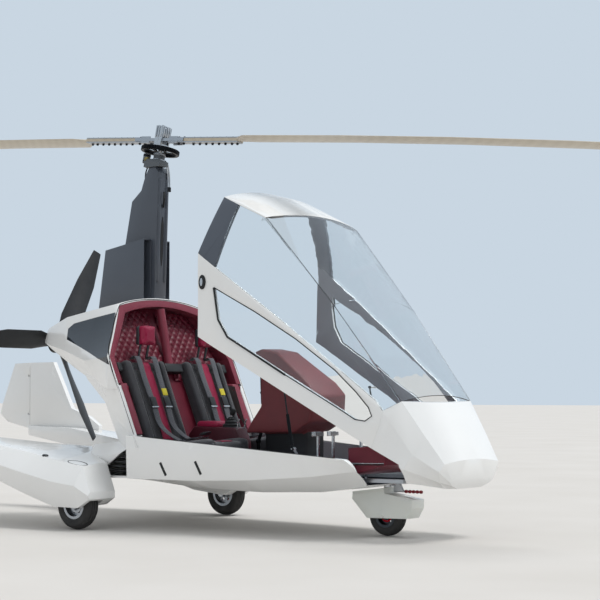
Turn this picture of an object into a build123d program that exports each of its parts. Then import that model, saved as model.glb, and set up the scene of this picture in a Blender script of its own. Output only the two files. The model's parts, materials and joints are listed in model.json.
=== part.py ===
from build123d import *
import math
import os

# A two-seat gyrocopter with a pusher propeller, twin tail booms and a one-piece
# forward-opening canopy, parked on its three wheels with the canopy open.
# Frame: +X to the nose, +Y to port, +Z up, millimetres. The origin is on the
# ground under the rotor hub.

# Wheels and track
MAIN_AXLE_X = -29.0
TRACK = 1628.0
MAIN_TYRE_D = 330.0
MAIN_TYRE_W = 108.0
NOSE_AXLE_X = 1971.0
NOSE_TYRE_D = 262.0
NOSE_TYRE_W = 92.0
RIM_SHARE = 0.52
AXLE_R = 12.5
RUNNING_FIT = 0.05
WELL_GAP = 16.0
SPAT_GAP = 10.0
SPAT_Y = 76.0
TOW_PIN_L = 12.0
STEER_PIN_R = 14.0
RIM_HOLES = 6

# Rotor and mast
ROTOR_R = 4300.0
BLADE_CHORD = 220.0
BLADE_PITCH = 2.5
BLADE_T = 24.0
BLADE_ROOT_X = 236.0
BLADE_ROOT_CHORD = 80.0
BLADE_SHOULDER_X = 870.0
BLADE_DROOP = 95.0
ROTOR_TILT = 5.2
ROTOR_ROLL = 8.0
HUB_Z = 2782.0
# The hub stands this far ahead of the origin, so the leaning rotor's drooped tips are
# equally far from it
HUB_X = BLADE_DROOP * math.sin(math.radians(ROTOR_TILT))
HUB_BAR_W = 76.0
STRAP_T = 7.0
STRAP_END_X = 740.0
STRAP_START_X = 120.0
RING_R = 142.0
RING_H = 34.0
SHAFT_R = 17.0
PIVOT_R = 9.0
MAST_Y = 62.0
MAST_WALL = 7.0
MAST_TOP_Z = 2585.0

# Propeller
PROP_X = -1040.0
PROP_Z = 1315.0
PROP_R = 850.0
PROP_BLADES = 3
PROP_FIRST_DEG = 60.0
PROP_HUB_R = 74.0
PROP_SHAFT_R = 28.0

# Body walls
SKIN = 14.0
TUB_WALL = 24.0
FLOOR_T = 16.0
GLASS_T = 5.0
CANOPY_T = 22.0
SEAM = 6.0
FAR = 950.0

# Canopy movement: it tips on a carriage that runs forward on two rails
CANOPY_TIP = 24.0
CANOPY_RUN = 304.0
HINGE_X = 1976.0
HINGE_Z = 375.0
ARM_Y = 300.0
ARM_W = 34.0
ARM_H = 24.0
PIN_R = 8.0
LUG_T = 14.0
LUG_GAP = 2.0
LUG_R = 12.0
RAIL_GAP = 0.6

# Canopy stays
STAY_Y = 510.0
STAY_R = 11.0
STAY_ROD_R = 5.0
STAY_BODY_L = 226.0
STAY_FOOT = (1264.0, 571.0)
STAY_HEAD_CLOSED = (1017.0, 606.0)
STAY_EYE_R = 9.0
STAY_EYE_T = 14.0
STAY_PIN_R = 4.5
STAY_STUD_R = 7.0
STAY_NECK = 24.0
STAY_OVERLAP = 30.0

# Seats
SEAT_Y = 325.0
SEAT_W = 450.0
SEAT_BACK_T = 98.0
SEAT_GAP = 0.3
BULKHEAD_T = 14.0
SEAT_VOID_Y = 556.0
SEAT_VOID_Z = (400.0, 1060.0)
LINING_T = 50.0
PILLAR_T = 40.0
PILLAR_Y = 700.0
SIDE_LINING_T = 70.0
SIDE_LINING_Z = 648.0

# Rudders
RUDDER_HINGE_X = -2140.0
RUDDER_NOSE_R = 18.0
RUDDER_GAP = 6.0
HINGE_LUG_Z = (760.0, 1080.0)
HINGE_PIN_R = 5.0
HINGE_PIN_L = 60.0
FIN_Y = 800.0
FIN_T = 42.0

# Arch line where the canopy meets the rear cabin, side view (x, z)
SILL_REAR = (370.0, 640.0)
ARCH_KINK = (135.0, 1181.0)
ARCH_TOP = (-20.0, 1700.0)
SILL_FRONT = (2030.0, 507.0)


def wire(points):
    """Closed polygon through 3-D points."""
    return Wire(Polyline(*points, close=True).edges())


def section(x, half, crown=0.0):
    """Closed outline in the plane X = x. half runs down the port side as (y, z)."""
    port = [(x, y, z) for y, z in half]
    starboard = [(x, -y, z) for y, z in reversed(half)]
    y0, z0 = half[0]
    sides = Polyline(*port, *starboard)
    if crown:
        top = ThreePointArc((x, -y0, z0), (x, 0, z0 + crown), (x, y0, z0))
    else:
        top = Line((x, -y0, z0), (x, y0, z0))
    return Wire([*sides.edges(), *top.edges()])


def hull(stations, wall=0.0, top=None, floor=None, first=0.0, last=0.0):
    """Ruled body through X stations (x, crown, half), with its skin moved in by wall.

    top and floor lower the upper and raise the lower edge, or follow wall; first and
    last move the end stations in X.
    """
    top = wall if top is None else top
    floor = wall if floor is None else floor
    shifts = [first] + [0.0] * (len(stations) - 2) + [last]
    rings = []
    for (x, crown, half), shift in zip(stations, shifts):
        inner = [(y - wall, z) for y, z in half]
        inner[0] = (inner[0][0], inner[0][1] - top)
        inner[-1] = (inner[-1][0], inner[-1][1] + floor)
        rings.append(section(x + shift, inner, crown))
    return Solid.make_loft(rings, ruled=True)


def side_prism(points, y0, y1):
    """Side-view outline (x, z) made solid between two Y values."""
    face = Face(wire([(x, y0, z) for x, z in points]))
    return extrude(face, amount=y1 - y0, dir=(0, 1, 0))


def block(x0, x1, y0, y1, z0, z1):
    """Box from its limits."""
    return Pos((x0 + x1) / 2, (y0 + y1) / 2, (z0 + z1) / 2) * Box(x1 - x0, y1 - y0, z1 - z0)


def rod_y(x, z, r, y0, y1):
    """Round bar along Y."""
    return Pos(x, (y0 + y1) / 2, z) * Rot(90, 0, 0) * Cylinder(r, abs(y1 - y0))


def rod(p, q, r):
    """Round bar between two points."""
    a, b = Vector(*p), Vector(*q)
    return Solid.make_cylinder(r, (b - a).length, Plane(origin=a, z_dir=b - a))


def both(solid):
    """A piece and its mirror image on the other side."""
    return [solid, mirror(solid, about=Plane.XZ)]


def arch_x(z):
    """The arch line's X at a height below the kink."""
    (xs, zs), (xk, zk) = SILL_REAR, ARCH_KINK
    return xs + (xk - xs) * (z - zs) / (zk - zs)


def sill_z(x):
    """The sill's height at X."""
    (x0, z0), (x1, z1) = SILL_REAR, SILL_FRONT
    return z0 + (z1 - z0) * (x - x0) / (x1 - x0)


def put(name, *solids):
    """Writes one sub-part."""
    parts = [s for item in solids for s in item.solids()]
    shape = parts[0] if len(parts) == 1 else Compound(parts)
    shape.label = name
    export_step(shape, f"parts/{name}.step")


# Canopy, drawn shut. Columns: x, crown, (y, z) at the crease, the belt and the sill
CANOPY_HULL = [
    (-120, 60, [(468, 1550), (700, 1244), (700, 722)]),
    (0, 66, [(480, 1558), (700, 1213), (700, 710)]),
    (200, 84, [(505, 1572), (698, 1165), (700, 690)]),
    (459, 74, [(532, 1564), (668, 1100), (690, 664)]),
    (1150, 64, [(486, 1232), (582, 925), (606, 595)]),
    (1834, 42, [(428, 863), (494, 755), (524, 527)]),
]
# Nose shell. Columns: x, crown, (y, z) at the crease, cheek, jaw and keel
NOSE_HULL = [
    (1690, 46, [(440, 937), (510, 785), (545, 540), (500, 400)]),
    (1834, 42, [(428, 863), (494, 735), (522, 520), (470, 405)]),
    (2050, 36, [(384, 724), (452, 600), (486, 500), (440, 412)]),
    (2224, 26, [(338, 612), (372, 560), (330, 492), (210, 440)]),
    (2268, 12, [(262, 520), (268, 505), (230, 482), (150, 458)]),
]
# Side-view outlines of the canopy's pieces, shut (x, z)
WINDOW_LOW = [
    (352, 1018), (470, 838), (580, 762), (1069, 706), (1536, 660), (1629, 648), (1694, 666),
    (1722, 712), (1680, 752), (1562, 806), (1376, 872), (1045, 944), (700, 990),
]
BAR_TOP = [(135, 1181), (926, 1003), (1697, 808), (1772, 771)]
GLASS_FRONT = (1834, 863)
ROOF_FRONT = (459, 1564)
ROOF_EDGE_Z = 1557
CREASE_REAR_Y = 534
CREASE_FRONT_Y = 424
NOSE_JAW = [(2006, 512), (2052, 463), (2072, 380)]

# Rear cabin cowl. Columns: x, crown, (y, z) at the roof edge, belt, belly edge
COWL_HULL = [
    (220, 72, [(511, 1588), (702, 1165), (692, 960)]),
    (120, 66, [(497, 1573), (698, 1181), (690, 962)]),
    (-220, 55, [(450, 1530), (560, 1160), (440, 1000)]),
    (-570, 45, [(380, 1485), (400, 1240), (300, 1120)]),
    (-900, 30, [(225, 1420), (256, 1300), (200, 1262)]),
    (-950, 26, [(195, 1402), (226, 1312), (172, 1284)]),
]
QUARTER_WINDOW = [
    (144, 1126), (123, 1181), (28, 1498), (-470, 1436), (-545, 1400), (-552, 1322),
]

# Corner pillar's rear edge, port side. Columns: z, x, y
PILLAR_BACK = [(560, 120, 548), (869, -75, 500), (1030, -330, 412), (1075, -380, 392)]

# Cockpit tub. Columns: x, (y, z) at the sill, chine and bottom edge
TUB_HULL = [
    (302, 0, [(700, 645), (688, 352), (520, 338)]),
    (840, 0, [(656, 602), (642, 350), (500, 290)]),
    (1300, 0, [(604, 565), (596, 366), (450, 281)]),
    (1700, 0, [(552, 533), (532, 394), (370, 292)]),
    (2030, 0, [(505, 507), (452, 436), (330, 336)]),
]

# Rear deck between the booms. Columns: x, (y, z) at the upper, lower edges
DECK_HULL = [
    (298, 0, [(560, 606), (620, 540), (615, 352)]),
    (40, 0, [(540, 590), (615, 500), (600, 345)]),
    (-150, 0, [(520, 570), (585, 500), (560, 345)]),
    (-410, 0, [(270, 545), (292, 500), (285, 400)]),
    (-590, 0, [(150, 535), (165, 500), (160, 440)]),
]
INTAKE = [(286, 590), (-4, 398), (50, 362), (286, 362)]

# Boom and wheel pod, port side. Columns: x, (y, z) round the section
BOOM = [
    (170, [(660, 215), (660, 262), (905, 262), (930, 240), (918, 215)]),
    (75, [(640, 165), (640, 452), (882, 432), (968, 305), (928, 155)]),
    (-150, [(570, 200), (560, 520), (880, 466), (970, 330), (928, 155)]),
    (-410, [(276, 360), (262, 545), (880, 515), (970, 380), (928, 228)]),
    (-710, [(406, 400), (402, 568), (880, 560), (966, 442), (926, 322)]),
    (-1100, [(530, 455), (524, 606), (870, 606), (940, 520), (905, 400)]),
    (-1500, [(640, 505), (636, 648), (852, 648), (900, 585), (872, 480)]),
    (-2116, [(760, 582), (756, 662), (840, 662), (850, 630), (838, 572)]),
]
BOOM_WALL = 12.0
FIN_FRONT = [(-1330, 600), (-1330, 668), (-1447, 742), (-1639, 808), (-1851, 1192)]
FIN_TOP_Z = 1190.0
RUDDER_REAR = [(-2313, 1184), (-2462, 850), (-2490, 760), (-2400, 690)]
RUDDER_FOOT_Z = 640.0
RUDDER_TE_T = 10.0

# Mast fairing, side view (x, z)
MAST = [
    (-4, 1520), (28, 2540), (0, 2585), (-62, 2585), (-100, 2524), (-139, 2419), (-229, 2343),
    (-289, 2048), (-430, 1500),
]
# Scoop beside the mast, open at the front, side view (x, z), and its duct
SCOOP = [(-36, 1530), (-36, 2053), (-413, 1985), (-480, 1530)]
SCOOP_DUCT = [(40, 1500), (40, 2045), (-36, 2045), (-406, 1978), (-472, 1530), (-472, 1500)]
SCOOP_Y = 145.0
SCOOP_WALL = 6.0
INTAKE_SLATS = 6

# Dash binnacle, side view (x, z), and its column
DASH = [
    (950, 1205), (1010, 1226), (1150, 1200), (1440, 985), (1510, 900), (1480, 735), (1360, 668),
    (946, 660), (1062, 840), (1016, 1130),
]
DASH_Y = 205.0
# Its half width narrows upwards. Columns: y, z
DASH_TAPER = [(205, 640), (205, 735), (110, 1240)]
DASH_COLUMN = (1040.0, 1390.0, 105.0)

# Seats, side views (x, z)
SEAT_CUSHION = [(418, 462), (930, 500), (948, 588), (905, 612), (430, 566)]
SEAT_FRONT_LOW = (402, 572)
SEAT_FRONT_TOP = (141.5, 1190)
HEADREST = [(112, 1272), (178, 1268), (194, 1300), (190, 1392), (170, 1408), (112, 1404)]
HEADREST_W = 145.0
POST_R = 9.0
POST_Y = 42.0

# Foot box ahead of the tub. Columns: x, (y, z) at the upper and lower edges
FOOT_HULL = [
    (1932, 0, [(404, 580), (400, 406)]),
    (2150, 0, [(338, 600), (300, 472)]),
]
FOOT_WALL = 12.0

# Engine and its nose case
ENGINE_X = (-600.0, -250.0)
ENGINE_Y = 220.0
ENGINE_TOP_Z = 1400.0

# Nose wheel spat, side view (x from the axle, z)
SPAT = [
    (-228, 284), (-181, 291), (14, 315), (21, 279), (229, 243), (229, 190), (190, 122),
    (-116, 117), (-232, 238),
]
LEG_R = 26.0
LEG_Z = 318.0
PITOT_Z = 293.0


def open_canopy(shape):
    """Moves a shut canopy piece to the open rest position."""
    turned = shape.rotate(Axis((HINGE_X, 0, HINGE_Z), (0, 1, 0)), CANOPY_TIP)
    return turned.translate((CANOPY_RUN, 0, 0))


def run_forward(shape):
    """Moves a shut carriage piece to the open rest position."""
    return shape.translate((CANOPY_RUN, 0, 0))


def opened(x, z):
    """Side-view place, in the open position, of a point on the shut canopy."""
    a = math.radians(CANOPY_TIP)
    dx, dz = x - HINGE_X, z - HINGE_Z
    return (
        HINGE_X + CANOPY_RUN + dx * math.cos(a) + dz * math.sin(a),
        HINGE_Z - dx * math.sin(a) + dz * math.cos(a),
    )


def side_zone(points):
    """Side-view region reaching past both sides of the machine."""
    return side_prism(points, -FAR, FAR)


def arch_zone(ahead, behind):
    """Region between the arch line moved aft by two distances."""
    edge = [SILL_REAR, ARCH_KINK, ARCH_TOP]
    front = [(x - ahead, z) for x, z in edge]
    back = [(x - behind, z) for x, z in reversed(edge)]
    return side_zone([*front, *back])


def canopy_outline():
    """Side view of the whole canopy ahead of the arch and above the sill."""
    (xs, zs), (xk, zk), (xt, zt) = SILL_REAR, ARCH_KINK, ARCH_TOP
    jaw_x = NOSE_JAW[0][0]
    return side_zone([
        (xs + SEAM, zs + SEAM), (xk + SEAM, zk), (xt + SEAM, zt), (2400, zt),
        (2400, NOSE_JAW[-1][1]), *reversed(NOSE_JAW[1:]), (jaw_x, sill_z(jaw_x) + SEAM),
    ])


def build_canopy():
    """The tipping canopy: roof, pillars, frame, nose, windscreen and side windows."""
    outline = canopy_outline()
    solid = hull(CANOPY_HULL) & outline
    shell = solid - hull(CANOPY_HULL, CANOPY_T, floor=-300)
    pane = solid - hull(CANOPY_HULL, GLASS_T, floor=-300)
    seam = [BAR_TOP[-1], (1790, 700), (1806, 480)]
    nose_zone = side_zone([GLASS_FRONT, *seam, (1806, 300), (2450, 300), (2450, 1000)])
    low_zone = side_zone([(0, 1211), *BAR_TOP, *seam[1:], (1806, 400), (0, 400)])
    high_zone = side_zone([(-200, 1252), *BAR_TOP, GLASS_FRONT, (1900, 1800), (-200, 1800)])
    roof_x, roof_z = ROOF_FRONT
    roof_zone = side_zone([(-200, ROOF_EDGE_Z), (roof_x - 10, ROOF_EDGE_Z), (roof_x + 55, 1700),
                           (roof_x + 55, 1800), (-200, 1800)])
    pillar_zone = side_zone([(-60, 1660), (150, 1660), (306, 1130), (110, 1130)])
    screen_zone = extrude(Face(wire([
        (roof_x - 30, -CREASE_REAR_Y, 0), (roof_x - 30, CREASE_REAR_Y, 0),
        (GLASS_FRONT[0] + 60, CREASE_FRONT_Y, 0), (GLASS_FRONT[0] + 60, -CREASE_FRONT_Y, 0),
    ])), amount=2000, dir=(0, 0, 1))
    inner_nose = hull(NOSE_HULL, CANOPY_T, last=-CANOPY_T)
    nose = ((hull(NOSE_HULL) & outline) - inner_nose) & nose_zone
    frame = (shell & low_zone) - side_zone(WINDOW_LOW)
    low_glass = pane & side_zone(WINDOW_LOW)
    upper = shell & high_zone
    roof = upper & roof_zone
    pillars = (upper & pillar_zone) - roof_zone
    glass = (pane & high_zone) - roof_zone - pillar_zone
    screen = glass & screen_zone
    high_glass = glass - screen_zone
    lug_far = (2150, 440)
    for side in (-1, 1):
        y0 = side * (ARM_Y - ARM_W / 2 - LUG_GAP)
        y1 = y0 - side * LUG_T
        eye = rod_y(HINGE_X, HINGE_Z, LUG_R, y0, y1)
        bar = side_prism([(HINGE_X, HINGE_Z - LUG_R), (2110, 414), lug_far, (2104, 440),
                          (HINGE_X, HINGE_Z + LUG_R)], min(y0, y1), max(y0, y1))
        bore = rod_y(HINGE_X, HINGE_Z, PIN_R + RUNNING_FIT, y0 + side, y1 - side)
        nose = nose + ((eye + bar) - bore)
        x, z = STAY_HEAD_CLOSED
        stud = rod_y(x, z, STAY_STUD_R, side * (STAY_Y + STAY_EYE_T / 2 + SEAT_GAP), side * 640)
        frame = frame + (stud & hull(CANOPY_HULL, 6, floor=-300))
    put("canopy_roof", open_canopy(roof))
    put("canopy_pillars", open_canopy(pillars))
    put("canopy_frame", open_canopy(frame))
    put("canopy_nose", open_canopy(nose))
    put("windscreen", open_canopy(screen))
    put("canopy_side_windows", open_canopy(high_glass), open_canopy(low_glass))


def build_carriage():
    """Sliding arms under the foot box, their rails, and the canopy stays."""
    x0, z0 = STAY_FOOT
    arms = []
    rails = []
    inner = tub_inside()
    for side in (-1, 1):
        y = side * ARM_Y
        arm = block(x0 - 12, HINGE_X + 10, y - ARM_W / 2, y + ARM_W / 2,
                    HINGE_Z - ARM_H / 2, HINGE_Z + ARM_H / 2)
        pin_in = side * (ARM_Y - ARM_W / 2 - LUG_GAP - LUG_T - 3)
        arm = arm + rod_y(HINGE_X, HINGE_Z, PIN_R, y, pin_in)
        reach = STAY_Y - STAY_EYE_T / 2 - SEAT_GAP
        arm = arm + rod((x0, y, HINGE_Z), (x0, side * (reach - 14), z0 - 4), 8)
        arm = arm + rod_y(x0, z0, 9.5, side * reach, side * (reach - 24))
        arm = arm + rod_y(x0, z0, STAY_PIN_R, side * (reach - 4), side * (STAY_Y + 10))
        arms.append(run_forward(arm))
        top = HINGE_Z - ARM_H / 2 - RAIL_GAP
        lip = y + side * (ARM_W / 2 + RAIL_GAP)
        rail = block(1230, 1995, y - ARM_W / 2, y + ARM_W / 2, 250, top)
        rail = rail + block(1230, 1995, min(y, lip + side * 8), max(y, lip + side * 8), 250, top)
        rail = rail + block(1230, 1995, min(lip, lip + side * 8), max(lip, lip + side * 8),
                            250, top + 16)
        rails.append(rail & inner)
    put("canopy_carriage", *arms)
    put("canopy_rails", *rails)
    foot = (x0 + CANOPY_RUN, z0)
    head = opened(*STAY_HEAD_CLOSED)
    length = math.hypot(head[0] - foot[0], head[1] - foot[1])
    ux, uz = (head[0] - foot[0]) / length, (head[1] - foot[1]) / length
    for side, name in ((-1, "starboard"), (1, "port")):
        y = side * STAY_Y
        start = (foot[0] + STAY_NECK * ux, y, foot[1] + STAY_NECK * uz)
        near = (foot[0] + 7 * ux, y, foot[1] + 7 * uz)
        mouth = (foot[0] + STAY_BODY_L * ux, y, foot[1] + STAY_BODY_L * uz)
        deep = (foot[0] + (STAY_NECK + 6) * ux, y, foot[1] + (STAY_NECK + 6) * uz)
        past = (foot[0] + (STAY_BODY_L + 5) * ux, y, foot[1] + (STAY_BODY_L + 5) * uz)
        body = rod(start, mouth, STAY_R) + rod(near, start, STAY_EYE_T / 2)
        body = body - rod(deep, past, STAY_ROD_R + RUNNING_FIT)
        eye = rod_y(foot[0], foot[1], STAY_EYE_R, y - STAY_EYE_T / 2, y + STAY_EYE_T / 2)
        hole = rod_y(foot[0], foot[1], STAY_PIN_R + RUNNING_FIT, y - 20, y + 20)
        put(f"stay_body_{name}", (body + eye) - hole)
        root = STAY_BODY_L - STAY_OVERLAP
        tail = (foot[0] + root * ux, y, foot[1] + root * uz)
        tip = (head[0], y, head[1])
        end = rod_y(head[0], head[1], STAY_EYE_R, y - STAY_EYE_T / 2, y + STAY_EYE_T / 2)
        put(f"stay_rod_{name}", rod(tail, tip, STAY_ROD_R) + end)


def tub_inside():
    """The tub's hollow, open at the top and the front."""
    return hull(TUB_HULL, TUB_WALL, top=-200, floor=FLOOR_T, first=TUB_WALL, last=60)


def build_tub():
    """Cockpit tub, open on top, with a curved front lip, and the foot box."""
    lip = Wire([
        *ThreePointArc((1955, -FAR, 520), (2024, -FAR, 432), (2004, -FAR, 320)).edges(),
        *Polyline((2004, -FAR, 320), (2100, -FAR, 320), (2100, -FAR, 520),
                  (1955, -FAR, 520)).edges(),
    ])
    tub = hull(TUB_HULL) - tub_inside() - extrude(Face(lip), amount=2 * FAR, dir=(0, 1, 0))
    put("cockpit_tub", tub - seat_void())
    foot = hull(FOOT_HULL) - hull(FOOT_HULL, FOOT_WALL, top=-60, first=-30, last=-FOOT_WALL)
    x = FOOT_HULL[0][0]
    half, low = FOOT_HULL[0][2][1]
    side = block(x, x + FOOT_WALL, half - FOOT_WALL, FAR, low, low + 94) & tub_inside()
    for wing in both(side):
        foot = foot + wing
    put("foot_box", foot)


def bulkhead_line(z):
    """X of the rear bulkhead's front face at a height."""
    (x0, z0), (x1, z1) = SEAT_FRONT_LOW, SEAT_FRONT_TOP
    run = math.hypot(x1 - x0, z1 - z0)
    depth = SEAT_BACK_T + SEAT_GAP
    back = x0 - depth * (z1 - z0) / run
    low = z0 + depth * (x1 - x0) / run
    return back + (x1 - x0) * (z - low) / (z1 - z0)


def bulkhead_zone(depth0, depth1, z0=200, z1=1700):
    """Slanted slab between two depths behind the bulkhead's face."""
    return side_zone([
        (bulkhead_line(z0) - depth0, z0), (bulkhead_line(z1) - depth0, z1),
        (bulkhead_line(z1) - depth1, z1), (bulkhead_line(z0) - depth1, z0),
    ])


def seat_void():
    """Space for the seats ahead of the bulkhead's rear face, above the tub's chine."""
    depth = BULKHEAD_T + SEAT_GAP
    return side_prism([
        (bulkhead_line(SEAT_VOID_Z[0]) - depth, SEAT_VOID_Z[0]),
        (bulkhead_line(SEAT_VOID_Z[1]) - depth, SEAT_VOID_Z[1]),
        (SILL_REAR[0] + 60, SEAT_VOID_Z[1]), (SILL_REAR[0] + 60, SEAT_VOID_Z[0]),
    ], -SEAT_VOID_Y, SEAT_VOID_Y)


def build_rear_cabin():
    """Rear cowl with its quarter windows, corner pillars, linings and bulkhead."""
    behind_arch = side_zone([SILL_REAR, ARCH_KINK, ARCH_TOP, (-1200, 1800), (-1200, 200),
                             (SILL_REAR[0] + 191, 200)])
    cowl_solid = hull(COWL_HULL) & behind_arch
    skin = cowl_solid - hull(COWL_HULL, SKIN, first=30, last=SKIN)
    window = side_zone(QUARTER_WINDOW)
    shaft_hole = Pos(-900, 0, PROP_Z) * Rot(0, 90, 0) * Cylinder(PROP_SHAFT_R + 2, 400)
    cabin = hull(COWL_HULL, SKIN, floor=-80, first=30, last=SKIN) & bulkhead_zone(
        BULKHEAD_T + SEAT_GAP, -900, 900)
    put("rear_cowl", skin - window - shaft_hole - seat_void() - cabin)
    put("quarter_windows", (cowl_solid - hull(COWL_HULL, GLASS_T, first=30, last=SKIN)) & window)
    pillar = Solid.make_loft([wire([(x, y, z) for x, y in ring]) for z, ring in pillar_rings()],
                             ruled=True)
    pillar = pillar - hull(COWL_HULL) - hull(TUB_HULL) - hull(DECK_HULL)
    pillar = max(pillar.solids(), key=lambda piece: piece.volume)
    put("corner_pillars", *both(pillar))
    lining = Solid.make_loft([wire([(x, y, z) for x, y in ring]) for z, ring in lining_rings()],
                             ruled=True)
    liner_out = hull(COWL_HULL, SKIN + SEAT_GAP, first=30, last=SKIN)
    lining = (lining - skin) & block(-900, 600, 0, FAR, SIDE_LINING_Z, 1000 - SEAT_GAP)
    put("side_linings", *both(lining))
    open_low = {"floor": -300, "first": 60, "last": SKIN}
    rim = (liner_out & arch_zone(2, 60)) - hull(COWL_HULL, SKIN + LINING_T, **open_low)
    walls = (liner_out & side_zone([(arch_x(1000) - 60, 1000), (ARCH_KINK[0] - 60, ARCH_KINK[1]),
                                    (ARCH_TOP[0] - 60, ARCH_TOP[1]),
                                    (bulkhead_line(1700), 1700), (bulkhead_line(1000), 1000)]))
    walls = walls - hull(COWL_HULL, SKIN + LINING_T - 14, **open_low)
    put("arch_lining", (rim + walls) & block(-900, 400, -FAR, FAR, 1000, 1800))
    upper = liner_out & bulkhead_zone(0, BULKHEAD_T) & block(-900, 400, -FAR, FAR, 1002, 1800)
    lower = bulkhead_zone(0, BULKHEAD_T) & block(-900, 600, -555, 555, SEAT_VOID_Z[0], 1004)
    foot = bulkhead_zone(0, BULKHEAD_T) & block(-900, 600, -500, 500, 200, SEAT_VOID_Z[0])
    put("rear_bulkhead", upper + lower + (foot & tub_inside()))
    trim = rod((93, 0, 1080), (0, 0, 1540), 32) & liner_out
    put("mast_trim", (trim - bulkhead_zone(-SEAT_GAP, 200)) - hull(COWL_HULL).cut(
        hull(COWL_HULL, SKIN + LINING_T, first=60, last=SKIN)))


def pillar_rings():
    """Plan outlines (x, y) of the port corner pillar at each height."""
    rings = []
    for z, back_x, back_y in PILLAR_BACK:
        front_x = arch_x(z)
        rings.append((z, [(front_x, PILLAR_Y), (back_x, back_y), (back_x + 8, back_y - PILLAR_T),
                          (front_x, PILLAR_Y - PILLAR_T)]))
    return rings


def lining_rings():
    """Plan outlines (x, y) of the port side lining, laid against the pillar's inner face."""
    rings = []
    for z, ring in pillar_rings():
        (xb, yb), (xf, yf) = ring[2], ring[3]
        slope = (yf - yb) / (xf - xb)
        front_x, back_x = xf - 4, bulkhead_line(z) + SEAT_GAP
        front_y = yf - slope * 4 - SEAT_GAP
        back_y = yf - slope * (xf - back_x) - SEAT_GAP
        rings.append((z, [(front_x, front_y), (back_x, back_y), (back_x, SEAT_VOID_Y),
                          (front_x, front_y - SIDE_LINING_T)]))
    return rings


def build_seats():
    """Two seats with headrests, the box they stand on and the centre console."""
    inner = tub_inside()
    bases = []
    cushions = []
    backs = []
    headrests = []
    posts = []
    (x0, z0), (x1, z1) = SEAT_FRONT_LOW, SEAT_FRONT_TOP
    run = math.hypot(x1 - x0, z1 - z0)
    nx, nz = -(z1 - z0) / run * SEAT_BACK_T, (x1 - x0) / run * SEAT_BACK_T
    back_profile = [(x0, z0), (x1, z1), (x1 + nx, z1 + nz), (x0 + nx, z0 + nz)]
    for side in (-1, 1):
        y0, y1 = side * SEAT_Y - SEAT_W / 2, side * SEAT_Y + SEAT_W / 2
        base_top = [(418, 462 - SEAT_GAP), (930, 500 - SEAT_GAP)]
        base = side_prism([(418, 250), *base_top, (930, 250)], y0, y1) & inner
        room = side_prism([(434, 240), (434, 446), (914, 480), (914, 240)], y0 + 16, y1 - 16)
        bases.append(base - room)
        cushions.append(side_prism(SEAT_CUSHION, y0, y1))
        backs.append(side_prism(back_profile, y0, y1))
        headrests.append(side_prism(HEADREST, side * SEAT_Y - HEADREST_W / 2,
                                    side * SEAT_Y + HEADREST_W / 2))
        for dy in (-POST_Y, POST_Y):
            y = side * SEAT_Y + dy
            post = rod((105, y, 1130), (140, y, 1290), POST_R)
            posts.append(post - backs[-1] - headrests[-1])
    put("seat_bases", *bases)
    put("seat_cushions", *cushions)
    put("seat_backs", *backs)
    put("headrests", *headrests)
    put("headrest_posts", *posts)
    console = side_prism([(330, 260), (330, 640), (380, 700), (745, 690), (790, 600), (790, 260)],
                         -72, 72)
    put("centre_console", (console & inner) - bulkhead_zone(-SEAT_GAP, 300))


def build_dash():
    """Dash binnacle on its column, the screen, the stick and the pedals."""
    inner = tub_inside()
    head = side_prism(DASH, -DASH_Y, DASH_Y) & taper_zone(0)
    x0, x1, half = DASH_COLUMN
    column = block(x0, x1, -half, half, 260, 700) & inner
    put("dash_binnacle", head + column)
    (xa, za), (xb, zb) = DASH[-1], DASH[-2]
    tilt = math.atan2(xb - xa, za - zb)
    ca, sa = math.cos(tilt), math.sin(tilt)
    face = [(xa, za - 20), (xa - 10 * ca, za - 20 - 10 * sa)]
    down = [(xb - 10 * ca, zb + 20 - 10 * sa), (xb, zb + 20)]
    panel = side_prism([*face, *down], -DASH_Y, DASH_Y) & taper_zone(16)
    put("instrument_panel", panel - head)
    stick = rod((905, 0, 250), (905, 0, 600), 13) - floor_block()
    stick = stick + rod((905, 0, 600), (985, 0, 800), 12) + Pos(905, 0, 600) * Sphere(20)
    stick = stick + rod((980, 0, 790), (1008, 0, 945), 19)
    put("control_stick", stick)
    tube = rod_y(1650, 440, 10, -410, 410)
    pedals = tube
    for y in (-335, -165, 165, 335):
        pedals = pedals + block(1643, 1657, y - 9, y + 9, 440, 660)
        pedals = pedals + block(1638, 1662, y - 45, y + 45, 652, 676)
    for y in (-230, 230):
        pedals = pedals + block(1640, 1660, y - 8, y + 8, 250, 440)
    put("rudder_pedals", pedals - floor_block())


def taper_zone(inset):
    """Space between the dash's two leaning sides, moved in by a distance."""
    port = [(900, y - inset, z) for y, z in DASH_TAPER]
    starboard = [(900, inset - y, z) for y, z in reversed(DASH_TAPER)]
    return extrude(Face(wire([*port, *starboard])), amount=700, dir=(1, 0, 0))


def floor_block():
    """Everything below the tub's inner floor, for trimming what stands on it."""
    return block(300, 2030, -FAR, FAR, 0, 420) - tub_inside()


def build_engine():
    """Engine block in the cowl and the fixed case that carries the propeller."""
    x0, x1 = ENGINE_X
    belly = hull(COWL_HULL, SKIN + SEAT_GAP)
    engine = block(x0, x1, -ENGINE_Y, ENGINE_Y, 900, ENGINE_TOP_Z) & belly
    case_end = PROP_X + 30 + SEAT_GAP
    case = Pos((x0 + case_end) / 2, 0, PROP_Z) * Rot(0, 90, 0) * Cylinder(
        PROP_SHAFT_R, x0 - case_end)
    put("engine_block", engine + case)


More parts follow.
